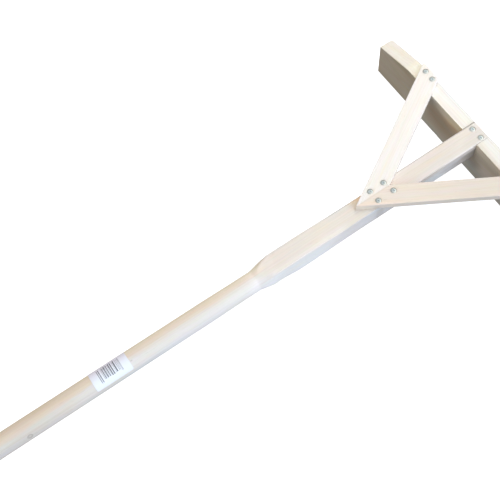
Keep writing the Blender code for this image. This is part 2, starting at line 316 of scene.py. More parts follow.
# ==== Node helpers ====
class Net:
    """A node network. Each method adds nodes and gives back their output."""

    def __init__(self, tree):
        self.tree = tree
        tree.nodes.clear()

    def new(self, kind, inputs=(), **settings):
        node = self.tree.nodes.new(kind)
        for key, value in settings.items():
            setattr(node, key, value)
        for key, value in dict(inputs).items():
            self.put(node.inputs[key], value)
        return node

    def put(self, socket, value):
        if isinstance(value, bpy.types.NodeSocket):
            self.tree.links.new(value, socket)
        elif isinstance(value, tuple) and len(value) == 3 and socket.type == "RGBA":
            socket.default_value = (*value, 1.0)
        else:
            socket.default_value = value

    def maths(self, operation, *values, clamp=False):
        values = enumerate(values)
        node = self.new("ShaderNodeMath", values, operation=operation, use_clamp=clamp)
        return node.outputs[0]

    def times(self, *values, **options):
        return self.maths("MULTIPLY", *values, **options)

    def plus(self, *values, **options):
        return self.maths("ADD", *values, **options)

    def minus(self, *values):
        return self.maths("SUBTRACT", *values)

    def times_plus(self, *values, **options):
        return self.maths("MULTIPLY_ADD", *values, **options)

    def product(self, total, *factors):
        for factor in factors:
            total = self.times(total, factor)
        return total

    def hypot(self, x, y):
        return self.maths("SQRT", self.plus(self.times(x, x), self.times(y, y)))

    def sway(self, value, amount, base=None, **options):
        """A 0 to 1 value swung about zero, or about a base."""
        middle = self.minus(value, 0.5)
        if base is None:
            return self.times(middle, amount)
        return self.times_plus(middle, amount, base, **options)

    def vec(self, operation, *values):
        node = self.new("ShaderNodeVectorMath", enumerate(values), operation=operation)
        return node.outputs["Value" if operation in ("DOT_PRODUCT", "LENGTH") else 0]

    def scale(self, vector, factor):
        inputs = {0: vector, "Scale": factor}
        return self.new("ShaderNodeVectorMath", inputs, operation="SCALE").outputs[0]

    def split(self, vector):
        return self.new("ShaderNodeSeparateXYZ", {0: vector}).outputs

    def join(self, *values):
        return self.new("ShaderNodeCombineXYZ", enumerate(values)).outputs[0]

    def noise(self, vector, detail=3.0, rough=0.6):
        inputs = {"Vector": vector, "Scale": 1.0, "Detail": detail, "Roughness": rough}
        return self.new("ShaderNodeTexNoise", inputs, noise_dimensions="3D").outputs["Fac"]

    def noise_1d(self, value, scale, detail, rough):
        inputs = {"W": value, "Scale": scale, "Detail": detail, "Roughness": rough}
        return self.new("ShaderNodeTexNoise", inputs, noise_dimensions="1D").outputs["Fac"]

    def grey_ramp(self, value, stops):
        """A grey level by (position, level) stops."""
        node = self.new("ShaderNodeValToRGB", {0: value})
        elements = node.color_ramp.elements
        while len(elements) < len(stops):
            elements.new(0.5)
        for element, (position, level) in zip(elements, stops):
            element.position = position
            element.color = (level, level, level, 1.0)
        return self.new("ShaderNodeRGBToBW", {0: node.outputs[0]}).outputs[0]

    def span(self, value, start, end, low=0.0, high=1.0, kind="SMOOTHSTEP"):
        """Goes from low to high as the value goes from start to end."""
        inputs = enumerate((value, start, end, low, high))
        return self.new("ShaderNodeMapRange", inputs, interpolation_type=kind).outputs[0]

    def mix(self, share, first, second, blend="MIX"):
        inputs = {0: share, 6: first, 7: second}
        node = self.new("ShaderNodeMix", inputs, data_type="RGBA", blend_type=blend)
        return node.outputs[2]

    def attribute(self, name):
        return self.new("ShaderNodeAttribute", attribute_name=name).outputs["Fac"]

    def coords(self, output="Object"):
        return self.new("ShaderNodeTexCoord").outputs[output]

    def rotate_z(self, vector, degrees):
        turn = (0, 0, math.radians(degrees))
        return self.new("ShaderNodeMapping", {"Vector": vector, "Rotation": turn}).outputs[0]

    def surface(self, colour, rough, height, depth, metallic=0.0, specular=0.5):
        """The finished surface, bumped by a height field of the given depth."""
        bump = self.new("ShaderNodeBump", {"Height": height, "Distance": depth, "Strength": 1.0})
        node = self.new("ShaderNodeBsdfPrincipled", {
            "Base Color": colour, "Roughness": rough, "Metallic": metallic,
            "Normal": bump.outputs[0], "Specular IOR Level": specular,
        })
        self.new("ShaderNodeOutputMaterial", {"Surface": node.outputs[0]})


def new_material(name):
    material = bpy.data.materials.new(name)
    material.use_nodes = True
    return material, Net(material.node_tree)


# ==== Wood ====
def fibre_noise(net, place, across, along, offset, detail=3.0, rough=0.6):
    """Noise drawn out along the fibres, which lie on Y."""
    x, y, z = place
    vector = net.join(
        net.times(x, across), net.times_plus(y, along, offset), net.times(z, across)
    )
    return net.noise(vector, detail, rough)


def drift_noise(net, place, across, along, offset, rough):
    """The same, moved across the fibres instead of along them."""
    x, y, z = place
    vector = net.join(
        net.times_plus(x, across, offset), net.times(y, along), net.times(z, across)
    )
    return net.noise(vector, rough=rough)


def growth_rings(net, place, pith, period, seed):
    """Latewood strength, 0 to 1, in uneven rings round a wandering pith line."""
    x, y, z = place
    slow = fibre_noise(net, place, 14.0, 1.6, seed, detail=2.0, rough=0.5)
    wander = net.sway(slow, 9.0 * MM)
    radius = net.hypot(net.minus(x, pith[0]), net.minus(z, pith[1]))
    radius = net.plus(radius, net.times_plus(y, 0.0045, wander))
    quick = fibre_noise(net, place, 90.0, 7.0, 3.1 * seed, rough=0.55)
    radius = net.plus(radius, net.sway(quick, 1.1 * MM))
    turns = net.maths("DIVIDE", radius, period)
    shifted = net.plus(turns, 5.0 * seed)
    spacing = net.noise_1d(shifted, scale=0.55, detail=2.0, rough=0.5)
    turns = net.times_plus(spacing, 2.4, turns)
    latewood = net.grey_ramp(net.maths("FRACT", turns), (
        (0.0, 0.12), (0.12, 0.0), (0.5, 0.1), (0.8, 0.62), (0.93, 1.0), (1.0, 0.12),
    ))
    number = net.times_plus(net.maths("FLOOR", turns), 7.31, seed)
    per_ring = net.noise_1d(number, scale=1.0, detail=0.0, rough=0.5)
    return net.times(latewood, net.span(per_ring, 0.25, 0.75, 0.35, 1.0))


def add_knot(net, p, colour, strand, centre, radius, length, strength):
    size = (1 / radius, 1 / length, 1 / radius)
    offset = net.vec("MULTIPLY", net.vec("SUBTRACT", p, centre), size)
    distance = net.sway(strand, 0.5, net.vec("LENGTH", offset))
    share = net.times(
        net.span(distance, 0.75, 1.1, 1.0, 0.0),
        net.span(distance, 0.3, 0.72, 0.3 * strength, 1.1 * strength),
    )
    return net.mix(share, colour, (0.34, 0.27, 0.20))


def wood_material(
    name, turn, pith, period, early, late, cool, warm, seed, contrast, shade, knots=()
):
    """Bare planed softwood in three dimensions, so that faces, edges and end grain agree.

    turn (degrees) brings the fibres onto Y; pith is the ring centre's (x, z) after that, and
    period the ring spacing. early to warm are the wood's colours, contrast the strength of the
    rings. shade adds painted light and shade, as tints by place. Knots are centre, radius,
    length along the fibres, strength.
    """
    material, net = new_material(name)

    def framed(output):
        vector = net.coords(output)
        return net.rotate_z(vector, turn) if turn else vector

    p = framed("Object")
    place = net.split(p)
    latewood = growth_rings(net, place, pith, period, seed)

    # fibres, streaks, resin ducts
    fibre = fibre_noise(net, place, 2600.0, 45.0, seed)
    strand = fibre_noise(net, place, 620.0, 9.0, 2 * seed)
    streak = fibre_noise(net, place, 85.0, 2.4, 4 * seed, rough=0.55)
    cloud = net.noise(net.vec("MULTIPLY", p, (22.0, 7.0, 22.0)), rough=0.5)
    ducts = fibre_noise(net, place, 1100.0, 95.0, 6 * seed, detail=1.0, rough=0.5)
    ducts = net.span(ducts, 0.71, 0.79)

    colour = net.mix(net.span(streak, 0.34, 0.66), cool, warm)
    colour = net.mix(net.span(cloud, 0.3, 0.75, 0.35, 0.8), colour, early)
    colour = net.mix(net.times(latewood, contrast, clamp=True), colour, late)
    light = net.sway(strand, 0.12, net.sway(fibre, 0.16, 1.0))
    light = net.minus(light, net.times(ducts, 0.12))
    light = net.join(light, light, net.maths("POWER", light, 1.15))
    colour = net.mix(1.0, colour, light, "MULTIPLY")
    for knot in knots:
        colour = add_knot(net, p, colour, strand, *knot)

    # end grain: darker and browner, since the open fibre ends drink the light
    facing = net.maths("ABSOLUTE", net.split(framed("Normal"))[1])
    end = net.span(facing, 0.75, 0.97)
    pores = net.noise(net.vec("MULTIPLY", p, (2400.0, 300.0, 2400.0)), detail=2.0)
    end_colour = net.mix(0.42, colour, (0.62, 0.47, 0.30))
    end_colour = net.mix(net.times(latewood, 0.45), end_colour, (0.42, 0.28, 0.15))
    end_colour = net.mix(net.span(pores, 0.35, 0.7, 0.35, 0.0), end_colour, (0.38, 0.27, 0.16))
    colour = net.mix(end, colour, end_colour)

    # handling: worn arrises polish paler, hollows by the screws and joints hold dust
    wear = net.times(net.attribute("wear"), net.span(strand, 0.3, 0.7, 0.15, 0.5))
    colour = net.mix(wear, colour, (0.84, 0.80, 0.76))
    grime = net.times(net.attribute("grime"), net.span(cloud, 0.2, 0.8, 0.25, 0.6))
    colour = net.mix(grime, colour, (0.36, 0.29, 0.21))

    # slow drift of hue along the fibres: pink against green-grey, then tan against blue
    drift = drift_noise(net, place, 190.0, 34.0, 8 * seed, rough=0.7)
    tanned = drift_noise(net, place, 130.0, 21.0, 3 * seed, rough=0.65)
    for field, start, end_at, tint in (
        (drift, 0.40, 0.70, (1.012, 0.985, 1.008)),
        (drift, 0.60, 0.30, (0.988, 1.010, 0.985)),
        (tanned, 0.48, 0.72, (1.01, 0.985, 0.935)),
        (tanned, 0.50, 0.28, (0.992, 1.0, 1.035)),
    ):
        tinted = net.mix(1.0, colour, tint, "MULTIPLY")
        colour = net.mix(net.span(field, start, end_at), colour, tinted)
    colour = shade(net, p, colour)

    rough = net.minus(net.sway(fibre, 0.25, 0.6), net.times(latewood, 0.12))
    rough = net.plus(rough, net.times(end, 0.2), clamp=True)
    height = net.times_plus(latewood, 0.55, net.times(fibre, 0.45))
    height = net.times_plus(strand, 0.5, height)
    height = net.minus(height, net.times(ducts, 0.5))
    height = net.minus(height, net.times(net.times(pores, end), 0.8))
    net.surface(colour, rough, height, depth=0.07 * MM, specular=0.18)
    return material


# ==== Zinc and paper ====
def even_noise(net, p, frequency, **options):
    return net.noise(net.vec("MULTIPLY", p, (frequency,) * 3), **options)


def zinc_material():
    """Bright zinc plate: crystal bloom, blue-grey to straw tint, turning lines, pale recess."""
    material, net = new_material("zinc_plate")
    p = net.coords()
    x, y, _ = net.split(p)
    bloom = even_noise(net, p, 900.0)
    fine = even_noise(net, p, 5200.0, detail=2.0)
    tint = even_noise(net, p, 240.0, detail=2.0, rough=0.5)
    colour = net.mix(net.span(tint, 0.35, 0.65), (0.55, 0.60, 0.58), (0.60, 0.62, 0.58))
    colour = net.mix(net.span(bloom, 0.35, 0.75, 0.0, 0.45), colour, (0.68, 0.72, 0.71))
    lines = net.noise_1d(net.hypot(x, y), scale=5200.0, detail=2.0, rough=0.6)
    recess = net.attribute("recess")
    colour = net.mix(recess, colour, (0.73, 0.77, 0.78))
    rough = net.sway(lines, 0.2, net.sway(fine, 0.25, 0.34))
    rough = net.times_plus(recess, 0.15, rough, clamp=True)
    height = net.times_plus(lines, 0.5, fine)
    metallic = net.minus(1.0, net.times(recess, 0.85))
    net.surface(colour, rough, height, depth=0.012 * MM, metallic=metallic)
    return material


def paper_noises(net):
    """Fine pulp, and broad cloudiness."""
    p = net.coords()
    pulp = even_noise(net, p, 1800.0, detail=4.0, rough=0.65)
    return pulp, net.noise(net.vec("MULTIPLY", p, (90.0, 60.0, 90.0)), detail=2.0, rough=0.5)


def paper_material():
    """Coated sticker paper."""
    material, net = new_material("label_paper")
    pulp, broad = paper_noises(net)
    colour = net.mix(net.span(pulp, 0.3, 0.7), (0.86, 0.885, 0.90), (0.91, 0.93, 0.945))
    # painted light: a lavender tint, strongest where the sheet is turned towards the light
    lit_tint = net.span(net.attribute("turn"), 0.40, 0.72, 0.0, 0.9)
    colour = net.mix(lit_tint, colour, (0.90, 0.86, 0.97))
    colour = net.mix(net.span(broad, 0.4, 0.8, 0.0, 0.3), colour, (0.84, 0.84, 0.83))
    colour = net.mix(net.times(net.attribute("edge"), 0.5), colour, (0.70, 0.66, 0.60))
    rough = net.span(pulp, 0.2, 0.8, 0.38, 0.52)
    net.surface(colour, rough, pulp, depth=0.006 * MM, specular=0.45)
    return material


def ink_material():
    """The thermal black of the label's bars."""
    material, net = new_material("label_ink")
    pulp, broad = paper_noises(net)
    colour = net.mix(net.span(pulp, 0.3, 0.75), (0.085, 0.088, 0.105), (0.15, 0.155, 0.175))
    colour = net.mix(net.span(broad, 0.45, 0.8, 0.0, 0.5), colour, (0.24, 0.25, 0.28))
    rough = net.span(pulp, 0.2, 0.8, 0.35, 0.55)
    net.surface(colour, rough, pulp, depth=0.006 * MM, specular=0.45)
    return material


# ==== Handle ====
CORNER_R = 1.0 * MM
BUTT_R = 7.0 * MM
# distances back from the board's inner face
SQUARE_TO, ROUND_FROM, WAIST_FROM, WAIST_TO = 325.0 * MM, 356.0 * MM, 378.0 * MM, 436.0 * MM
SWELL, TWIST, WAIST, LEAD_IN = 0.45 * MM, math.radians(4.0), 0.45 * MM, 1.9 * MM
TOOL_BLEND = 0.7 * MM  # softening where the square meets the turned surface
HANDLE_DENTS = (  # y, degrees round the axis, radius, depth
    (-0.262, 45, 9 * MM, 0.35 * MM),
    (-0.331, 135, 6 * MM, 0.25 * MM),
    (-0.112, -45, 8 * MM, 0.3 * MM),
    (-0.905, 70, 10 * MM, 0.18 * MM),
    (-1.21, 20, 12 * MM, 0.2 * MM),
)


def square_radius(angle):
    """Distance from the axis to the round-cornered square."""
    cosine, sine = abs(math.cos(angle)), abs(math.sin(angle))
    flat = HANDLE_HALF / max(cosine, sine)
    inner = HANDLE_HALF - CORNER_R
    if flat * min(cosine, sine) <= inner:
        return flat
    reach = inner * (cosine + sine)
    return reach + math.sqrt(max(reach * reach - (2 * inner * inner - CORNER_R * CORNER_R), 0.0))


CORNER_FULL = square_radius(math.pi / 4)


def turning_radius(back):
    """How far out the turning tool leaves wood, at a distance back from the board."""
    full, waist = CORNER_FULL + SWELL * 1.5, HANDLE_HALF - WAIST
    if back <= SQUARE_TO:
        return full + 1 * MM
    if back <= ROUND_FROM:
        share = (back - SQUARE_TO) / (ROUND_FROM - SQUARE_TO)
        return full + (waist - full) * (0.65 * share + 0.35 * ease(share, 0.0, 1.0))
    return waist + WAIST * ease(back, WAIST_FROM, WAIST_TO)


def section_point(angle, back, most):
    """Radius and turned angle of the outline: the square, swelling and twisting a little, cut
    down by the turning tool and by the most it may reach."""
    grown = ease(back, 190.0 * MM, 290.0 * MM)
    lead = LEAD_IN * min(ease(back, 292.0 * MM, SQUARE_TO), 1 - ease(back, SQUARE_TO, 350.0 * MM))
    radius = square_radius(angle) * (1 + SWELL * grown / HANDLE_HALF)
    radius -= lead * max(math.cos(angle + math.pi / 4), 0.0) ** 16
    cut = turning_radius(back)
    softened = 0.25 * TOOL_BLEND * max(0.0, 1 - abs(radius - cut) / TOOL_BLEND) ** 2
    return min(min(radius, cut) - softened, most), angle + TWIST * grown


def handle_angles():
    """Angles round the section, closer together at the corners."""
    edge = math.atan2(HANDLE_HALF - CORNER_R, HANDLE_HALF)
    eighth = [k * edge / 9 for k in range(9)]
    eighth += [edge + (math.pi / 4 - edge) * k / 3 for k in range(3)]
    eighth.append(math.pi / 4)
    quarter = eighth + [math.pi / 2 - angle for angle in reversed(eighth[1:-1])]
    return [turn * math.pi / 2 + angle for turn in range(4) for angle in quarter]


def handle_solid():
    angles = handle_angles()
    solid = bmesh.new()
    rows = []

    def row(y, shrink=0.0, most=math.inf):
        ring = []
        for angle in angles:
            radius, turned = section_point(angle, INNER_Y - y, most)
            radius -= shrink
            x, z = radius * math.cos(turned), AXIS_Z + radius * math.sin(turned)
            ring.append(solid.verts.new((x, y, z)))
        rows.append(ring)

    # the eased head end: distance from the end, shrink
    for inset, shrink in ((0.0, 0.45), (0.15, 0.18), (0.45, 0.04), (1.2, 0.0)):
        row(HANDLE_END - inset * MM, shrink * MM)
    for y in countdown(HANDLE_END - 4 * MM, INNER_Y - 288 * MM, 4.0 * MM):
        row(y)
    y = INNER_Y - 290 * MM
    while y > INNER_Y - ROUND_FROM - 6 * MM:
        row(y)
        y -= 1.0 * MM
    for y in countdown(y, BUTT_Y + BUTT_R + 4 * MM, 4.0 * MM):
        row(y)
    for k in range(13):
        angle = math.pi / 2 * k / 12
        row(BUTT_Y + BUTT_R * (1 - math.sin(angle)),
            most=HANDLE_HALF - BUTT_R * (1 - math.cos(angle)))
    # two more rings on the butt's flat, so that it has points to shape
    for share in (0.66, 0.33):
        row(BUTT_Y, most=(HANDLE_HALF - BUTT_R) * share)
    tip = solid.verts.new((0.0, BUTT_Y, AXIS_Z))
    skin(solid, rows)
    last = rows[-1]
    for i in range(len(last)):
        solid.faces.new((last[i], last[(i + 1) % len(last)], tip))
    solid.faces.new(list(reversed(rows[0])))
    bmesh.ops.recalc_face_normals(solid, faces=solid.faces[:])
    return solid


def weather_handle(solid):
    """A very slow wander, a feed ripple fading in with the turning, and a few knocks."""
    dents = []
    for y, degrees, radius, depth in HANDLE_DENTS:
        angle = math.radians(degrees)
        x, z = CORNER_FULL * math.cos(angle), AXIS_Z + CORNER_FULL * math.sin(angle)
        dents.append((x, y, z, radius, depth))
    solid.normal_update()
    for vert in solid.verts:
        point = vert.co
        if point.y > HANDLE_END - 1.5 * MM:
            continue
        turned = ease(INNER_Y - point.y, SQUARE_TO, ROUND_FROM)
        angle = math.atan2(point.z - AXIS_Z, point.x)
        wander = Vector((math.cos(angle) * 1.4, point.y * 16.0, math.sin(angle) * 1.4))
        push = 0.05 * MM * noise.noise(wander)
        ripple = 0.5 + 0.5 * math.sin(point.y / (9.0 * MM) * math.tau + angle)
        push -= turned * 0.03 * MM * ripple
        vert.co = point + vert.normal * min(dented(push, point, dents), 0.02 * MM)


def handle_marks(point):
    wear = 0.0
    if INNER_Y - point.y < ROUND_FROM:
        radius = math.hypot(point.x, point.z - AXIS_Z)
        wear = max(0.0, (radius - (CORNER_FULL - 1.3 * MM)) / (1.3 * MM))
    joint = 0.0
    if abs(point.x) > HANDLE_HALF - 1 * MM:
        joint = 0.55 * fade(abs(point.y - INNER_Y), 5 * MM)
    butt = 0.55 * fade(point.y - BUTT_Y, 90 * MM)
    grip = 0.22 * min(1.0, fade(point.y - BUTT_Y - 0.42, 0.25))
    return wear, max(joint, butt, grip, screw_grime(point))


def handle_mesh():
    solid = handle_solid()
    weather_handle(solid)
    made = drilled(mesh_from(solid, "handle_shaft", 35), "handle", "handle_shaft", 35)
    add_marks(made, handle_marks)
    return made


# ==== Board ====
BOARD_ARRIS, NOTCH_ARRIS = 0.9 * MM, 0.22 * MM
BOARD_OUTLINE = (  # x, z
    (-BOARD_HALF, 0.0), (BOARD_HALF, 0.0), (BOARD_HALF, BOARD_END_Z),
    (BOARD_FLAT, BOARD_TOP), (NOTCH_HALF, BOARD_TOP), (NOTCH_HALF, NOTCH_FLOOR),
    (-NOTCH_HALF, NOTCH_FLOOR), (-NOTCH_HALF, BOARD_TOP), (-BOARD_FLAT, BOARD_TOP),
    (-BOARD_HALF, BOARD_END_Z),
)
BOARD_DENTS = (  # x, y, z, radius, depth
    (-0.171, FRONT_Y, 0.0, 7 * MM, 0.45 * MM),
    (-0.062, INNER_Y, 0.0, 5 * MM, 0.3 * MM),
    (0.094, FRONT_Y, 0.0, 9 * MM, 0.5 * MM),
    (0.187, INNER_Y, 0.001, 6 * MM, 0.4 * MM),
    (-BOARD_HALF, FRONT_Y, BOARD_END_Z, 5 * MM, 0.35 * MM),
    (BOARD_HALF, INNER_Y, 0.0, 6 * MM, 0.5 * MM),
    (0.151, INNER_Y, BOARD_TOP - 3 * MM, 5 * MM, 0.25 * MM),
)


def in_notch(edge):
    return max(abs(vert.co.x) for vert in edge.verts) < NOTCH_HALF + 0.1 * MM


def board_arris(edge):
    """Outer edges, but for the two across the top where it starts to slope."""
    first, second = (vert.co for vert in edge.verts)
    at_slope = abs(first.y - second.y) > 1 * MM and abs(abs(first.x) - BOARD_FLAT) < 0.1 * MM
    return not in_notch(edge) and not at_slope


def notch_arris(edge):
    high = max(vert.co.z for vert in edge.verts) > NOTCH_FLOOR + 5 * MM
    return in_notch(edge) and high and edge.calc_length() > 3 * MM


def board_marks(point):
    side = abs(point.x)
    top = BOARD_TOP
    if side >= BOARD_FLAT:
        slope = (side - BOARD_FLAT) / (BOARD_HALF - BOARD_FLAT)
        top += (BOARD_END_Z - BOARD_TOP) * slope
    near = sorted((
        min(point.y - INNER_Y, FRONT_Y - point.y),
        min(point.z, abs(top - point.z)),
        BOARD_HALF - side,
    ))
    notch = 0.0
    if point.z > NOTCH_FLOOR - 2 * MM:
        notch = 0.5 * fade(abs(side - NOTCH_HALF), 1.6 * MM)
    grime = max(screw_grime(point), notch, 0.45 * fade(point.z, 11 * MM))
    return fade(math.hypot(near[0], near[1]), 1.5 * MM), grime


def board_mesh():
    solid = bmesh.new()
    face = solid.faces.new([solid.verts.new((x, INNER_Y, z)) for x, z in BOARD_OUTLINE])
    moved = bmesh.ops.extrude_face_region(solid, geom=[face])["geom"]
    bmesh.ops.translate(
        solid, vec=(0, FRONT_Y - INNER_Y, 0),
        verts=[item for item in moved if isinstance(item, bmesh.types.BMVert)],
    )
    bmesh.ops.recalc_face_normals(solid, faces=solid.faces[:])
    bevel_edges(solid, board_arris, BOARD_ARRIS, 3)
    bevel_edges(solid, notch_arris, NOTCH_ARRIS, 1)

    # extra cuts close either side of each screw in the board
    cuts = steps(-BOARD_HALF, BOARD_HALF, 4.0 * MM)
    for x, y, _, _ in SCREWS.values():
        if y > INNER_Y:
            cuts += [x + k * MM for k in (-6.5, -5.2, 5.2, 6.5)]
    slices(solid, (1, 0, 0), sorted(cuts))
    slices(solid, (0, 1, 0), steps(INNER_Y, FRONT_Y, 3.6 * MM))
    slices(solid, (0, 0, 1), steps(0.0, BOARD_TOP, 4.0 * MM))
    weather(solid, seed=11.0, amount=0.05 * MM, fibre=(1, 0, 0), dents=BOARD_DENTS)
    for vert in solid.verts:
        vert.co.x = max(-BOARD_HALF, min(BOARD_HALF, vert.co.x))
        vert.co.y = max(INNER_Y, min(FRONT_Y, vert.co.y))
        vert.co.z = max(0.0, min(BOARD_TOP, vert.co.z))
    made = drilled(mesh_from(solid, "board_planed", 30), "board", "board_planed", 30)
    add_marks(made, board_marks)
    return made


# ==== Braces ====
BRACE_ANGLE = math.radians(31.0)
BRACE_W = 29.0 * MM
MITRE_X = -1.2 * MM  # where the two braces meet
END_ARRIS, TOP_ARRIS, LOW_ARRIS = 0.6 * MM, 0.7 * MM, 0.3 * MM
CLOSE = 0.02 * MM  # the joints are drawn tight, where the CAD pieces keep their clearance
BRACE_BASE = BOARD_TOP + 0.03 * MM


def brace_section(inset):
    """Cross-section as (across, height) points, close enough together to shape."""
    half = BRACE_W / 2 - inset
    low, high = BRACE_BASE + inset, BRACE_TOP - inset
    small, large = LOW_ARRIS, TOP_ARRIS
    points = []

    def run(start, end, count):
        for k in range(count):
            points.append(tuple(a + (b - a) * k / count for a, b in zip(start, end)))

    def arc(x, z, radius, start, count):
        for k in range(count):
            angle = math.radians(start) + math.pi / 2 * k / count
            points.append((x + radius * math.cos(angle), z + radius * math.sin(angle)))

    arc(-half + small, low + small, small, 180, 3)
    run((-half + small, low), (half - small, low), 8)
    arc(half - small, low + small, small, 270, 3)
    run((half, low + small), (half, high - large), 3)
    arc(half - large, high - large, large, 0, 6)
    run((half - large, high), (-half + large, high), 10)
    arc(-half + large, high - large, large, 90, 6)
    run((-half, high - large), (-half, low + small), 3)
    return points


def brace_mesh(node, side, seed, lengths=56):
    """A brace from the mitre forwards and outwards; side is -1 for the left, 1 for the right."""
    lo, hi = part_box(node)
    slope = math.tan(BRACE_ANGLE)
    # the outer edge, carried on to the front end, measured from the mitre
    far = max(abs(lo.x - MITRE_X), abs(hi.x - MITRE_X)) + END_ARRIS * slope

    def offset(across):
        return far + (across - BRACE_W / 2) / math.cos(BRACE_ANGLE)

    solid = bmesh.new()

    def row(inset, share, front):
        """A ring a share of the way from the mitre to the front end."""
        ring = []
        for across, z in brace_section(inset):
            start = hi.y + (CLOSE - offset(across)) / slope
            y = start + (front - start) * share
            x = MITRE_X + side * (offset(across) + (y - hi.y) * slope)
            ring.append(solid.verts.new((x, y, z)))
        return ring

    rows = [row(0.0, k / lengths, hi.y - END_ARRIS) for k in range(lengths + 1)]
    for k in range(1, 4):
        angle = math.pi / 2 * k / 3
        y = hi.y - END_ARRIS * (1 - math.sin(angle))
        rows.append(row(END_ARRIS * (1 - math.cos(angle)), 1.0, y))
    skin(solid, rows)
    close_ends(solid, rows)
    bmesh.ops.recalc_face_normals(solid, faces=solid.faces[:])

    along = Vector((side * math.sin(BRACE_ANGLE), math.cos(BRACE_ANGLE), 0.0))
    across = Vector((along.y, -along.x, 0.0))
    outer = Vector((MITRE_X + side * far, hi.y, 0.0))
    dents = (  # x, y, z, radius, depth
        (outer.x - side * 0.3 * MM, outer.y, BRACE_TOP, 4 * MM, 0.25 * MM),
        (MITRE_X + side * far * 0.42, outer.y - 0.58 * far / slope, BRACE_TOP,
         6 * MM, 0.22 * MM),
    )
    # the mitre stays flat
    kept = {vert: vert.co.copy() for vert in rows[0]}
    weather(solid, seed, 0.045 * MM, tuple(along), dents)
    for vert, place in kept.items():
        vert.co = place
    for vert in solid.verts:
        vert.co.x = MITRE_X + side * max(CLOSE, min(far, side * (vert.co.x - MITRE_X)))
        vert.co.y = min(hi.y, vert.co.y)
        vert.co.z = max(BRACE_BASE, min(BRACE_TOP, vert.co.z))
    name = node + "_planed"
    made = drilled(mesh_from(solid, name, 30), node, name, 30)

    centre = Vector((MITRE_X + side * offset(0.0), hi.y, 0.0))

    def marks(point):
        off = abs((Vector((point.x, point.y, 0.0)) - centre).dot(across))
        height = min(point.z - BRACE_BASE, BRACE_TOP - point.z)
        near = sorted((BRACE_W / 2 - off, height, hi.y - point.y))
        wear = fade(math.hypot(max(0, near[0]), max(0, near[1])), 1.2 * MM)
        return wear, max(screw_grime(point), 0.3 * fade(abs(point.x - MITRE_X), 0.7 * MM))

    add_marks(made, marks)
    return made


# ==== Screws ====
SCREW_SEGMENTS = 48
THREAD_PITCH, THREAD_CORE, THREAD_CREST = 2.2 * MM, 1.45 * MM, 2.25 * MM
HEAD_RIM, HEAD_CONE, SHANK_R = 0.47 * MM, 2.6 * MM, 1.65 * MM
POINT_LENGTH = 5.0 * MM
HEAD_PROFILE = (  # share of the head's radius, height in mm: dished top, rolled edge, rim
    (0.2, 0.0), (0.35, -0.006), (0.5, -0.022), (0.62, -0.05), (0.72, -0.09), (0.8, -0.14),
    (0.87, -0.2), (0.93, -0.27), (0.97, -0.335), (0.99, -0.385), (1.0, -0.43),
)
RECESS_RINGS = (  # scale of the arms' length, height, half-width of an arm
    (1.06, 0.5 * MM, 0.66 * MM),
    (1.0, -0.05 * MM, 0.56 * MM),
    (0.80, -0.75 * MM, 0.42 * MM),
    (0.56, -1.35 * MM, 0.34 * MM),
    (0.36, -1.6 * MM, 0.24 * MM),
)


def screw_blank(length):
    """Head, cone, plain shank, rolled thread and gimlet point."""
    plain = 0.35 * length
    angles = [math.tau * k / SCREW_SEGMENTS for k in range(SCREW_SEGMENTS)]
    solid = bmesh.new()
    rows = []

    def ring(radius_at, z):
        points = [(radius_at(angle), angle) for angle in angles]
        rows.append([
            solid.verts.new((radius * math.cos(angle), radius * math.sin(angle), z))
            for radius, angle in points
        ])

    def plain_ring(radius, z):
        ring(lambda angle: radius, z)

    def thread_radius(angle, z):
        into = min(1.0, (-plain - z) / (1.5 * THREAD_PITCH))
        taper = min(1.0, (length + z) / POINT_LENGTH) ** 0.85
        turn = (z / THREAD_PITCH + angle / math.tau) % 1.0
        tooth = max(0.0, (abs(2 * turn - 1) - 0.55) / 0.45)
        height = (THREAD_CREST - THREAD_CORE) * (0.25 + 0.75 * taper) * into * tooth
        return max(0.12 * MM, THREAD_CORE * taper + height * min(1.0, taper * 1.6))

    for share, z in HEAD_PROFILE:
        plain_ring(HEAD_R * share, z * MM)
    plain_ring(HEAD_R, -HEAD_RIM)
    for k in range(1, 7):
        share = k / 6
        bulge = 0.05 * math.sin(math.pi * share)
        plain_ring(HEAD_R + (SHANK_R - HEAD_R) * share, -HEAD_RIM - HEAD_CONE * (share + bulge))
    for z in countdown(-HEAD_RIM - HEAD_CONE - 0.5 * MM, -plain, 1.5 * MM):
        plain_ring(SHANK_R, z)
    for z in countdown(-plain, -length + 0.3 * MM, THREAD_PITCH / 9):
        ring(partial(thread_radius, z=z), z)

    tip = solid.verts.new((0, 0, -length))
    cap = solid.verts.new((0, 0, 0.0))
    skin(solid, rows, flip=True)
    first, last = rows[0], rows[-1]
    for i in range(SCREW_SEGMENTS):
        j = (i + 1) % SCREW_SEGMENTS
        solid.faces.new((first[i], first[j], cap))
        solid.faces.new((last[i], tip, last[j]))
    return mesh_from(solid, "screw_blank", 38)


def cross_recess():
    """Cutter with four tapered arms, rounded at their ends."""
    cutter = bmesh.new()
    rows = []
    for scale, z, width in RECESS_RINGS:
        half = 2.05 * MM * scale
        arm = (
            (half * 0.86, -width), (half * 0.965, -width * 0.62), (half, 0.0),
            (half * 0.965, width * 0.62), (half * 0.86, width),
            (width * 1.18, width), (width, width), (width, width * 1.18),
        )
        ring = []
        for quarter in range(4):
            turn = Matrix.Rotation(quarter * math.pi / 2, 3, "Z")
            for x, y in arm:
                ring.append(cutter.verts.new(turn @ Vector((x, y, 0)) + Vector((0, 0, z))))
        rows.append(ring)
    skin(cutter, rows, flip=True)
    close_ends(cutter, rows)
    return cutter


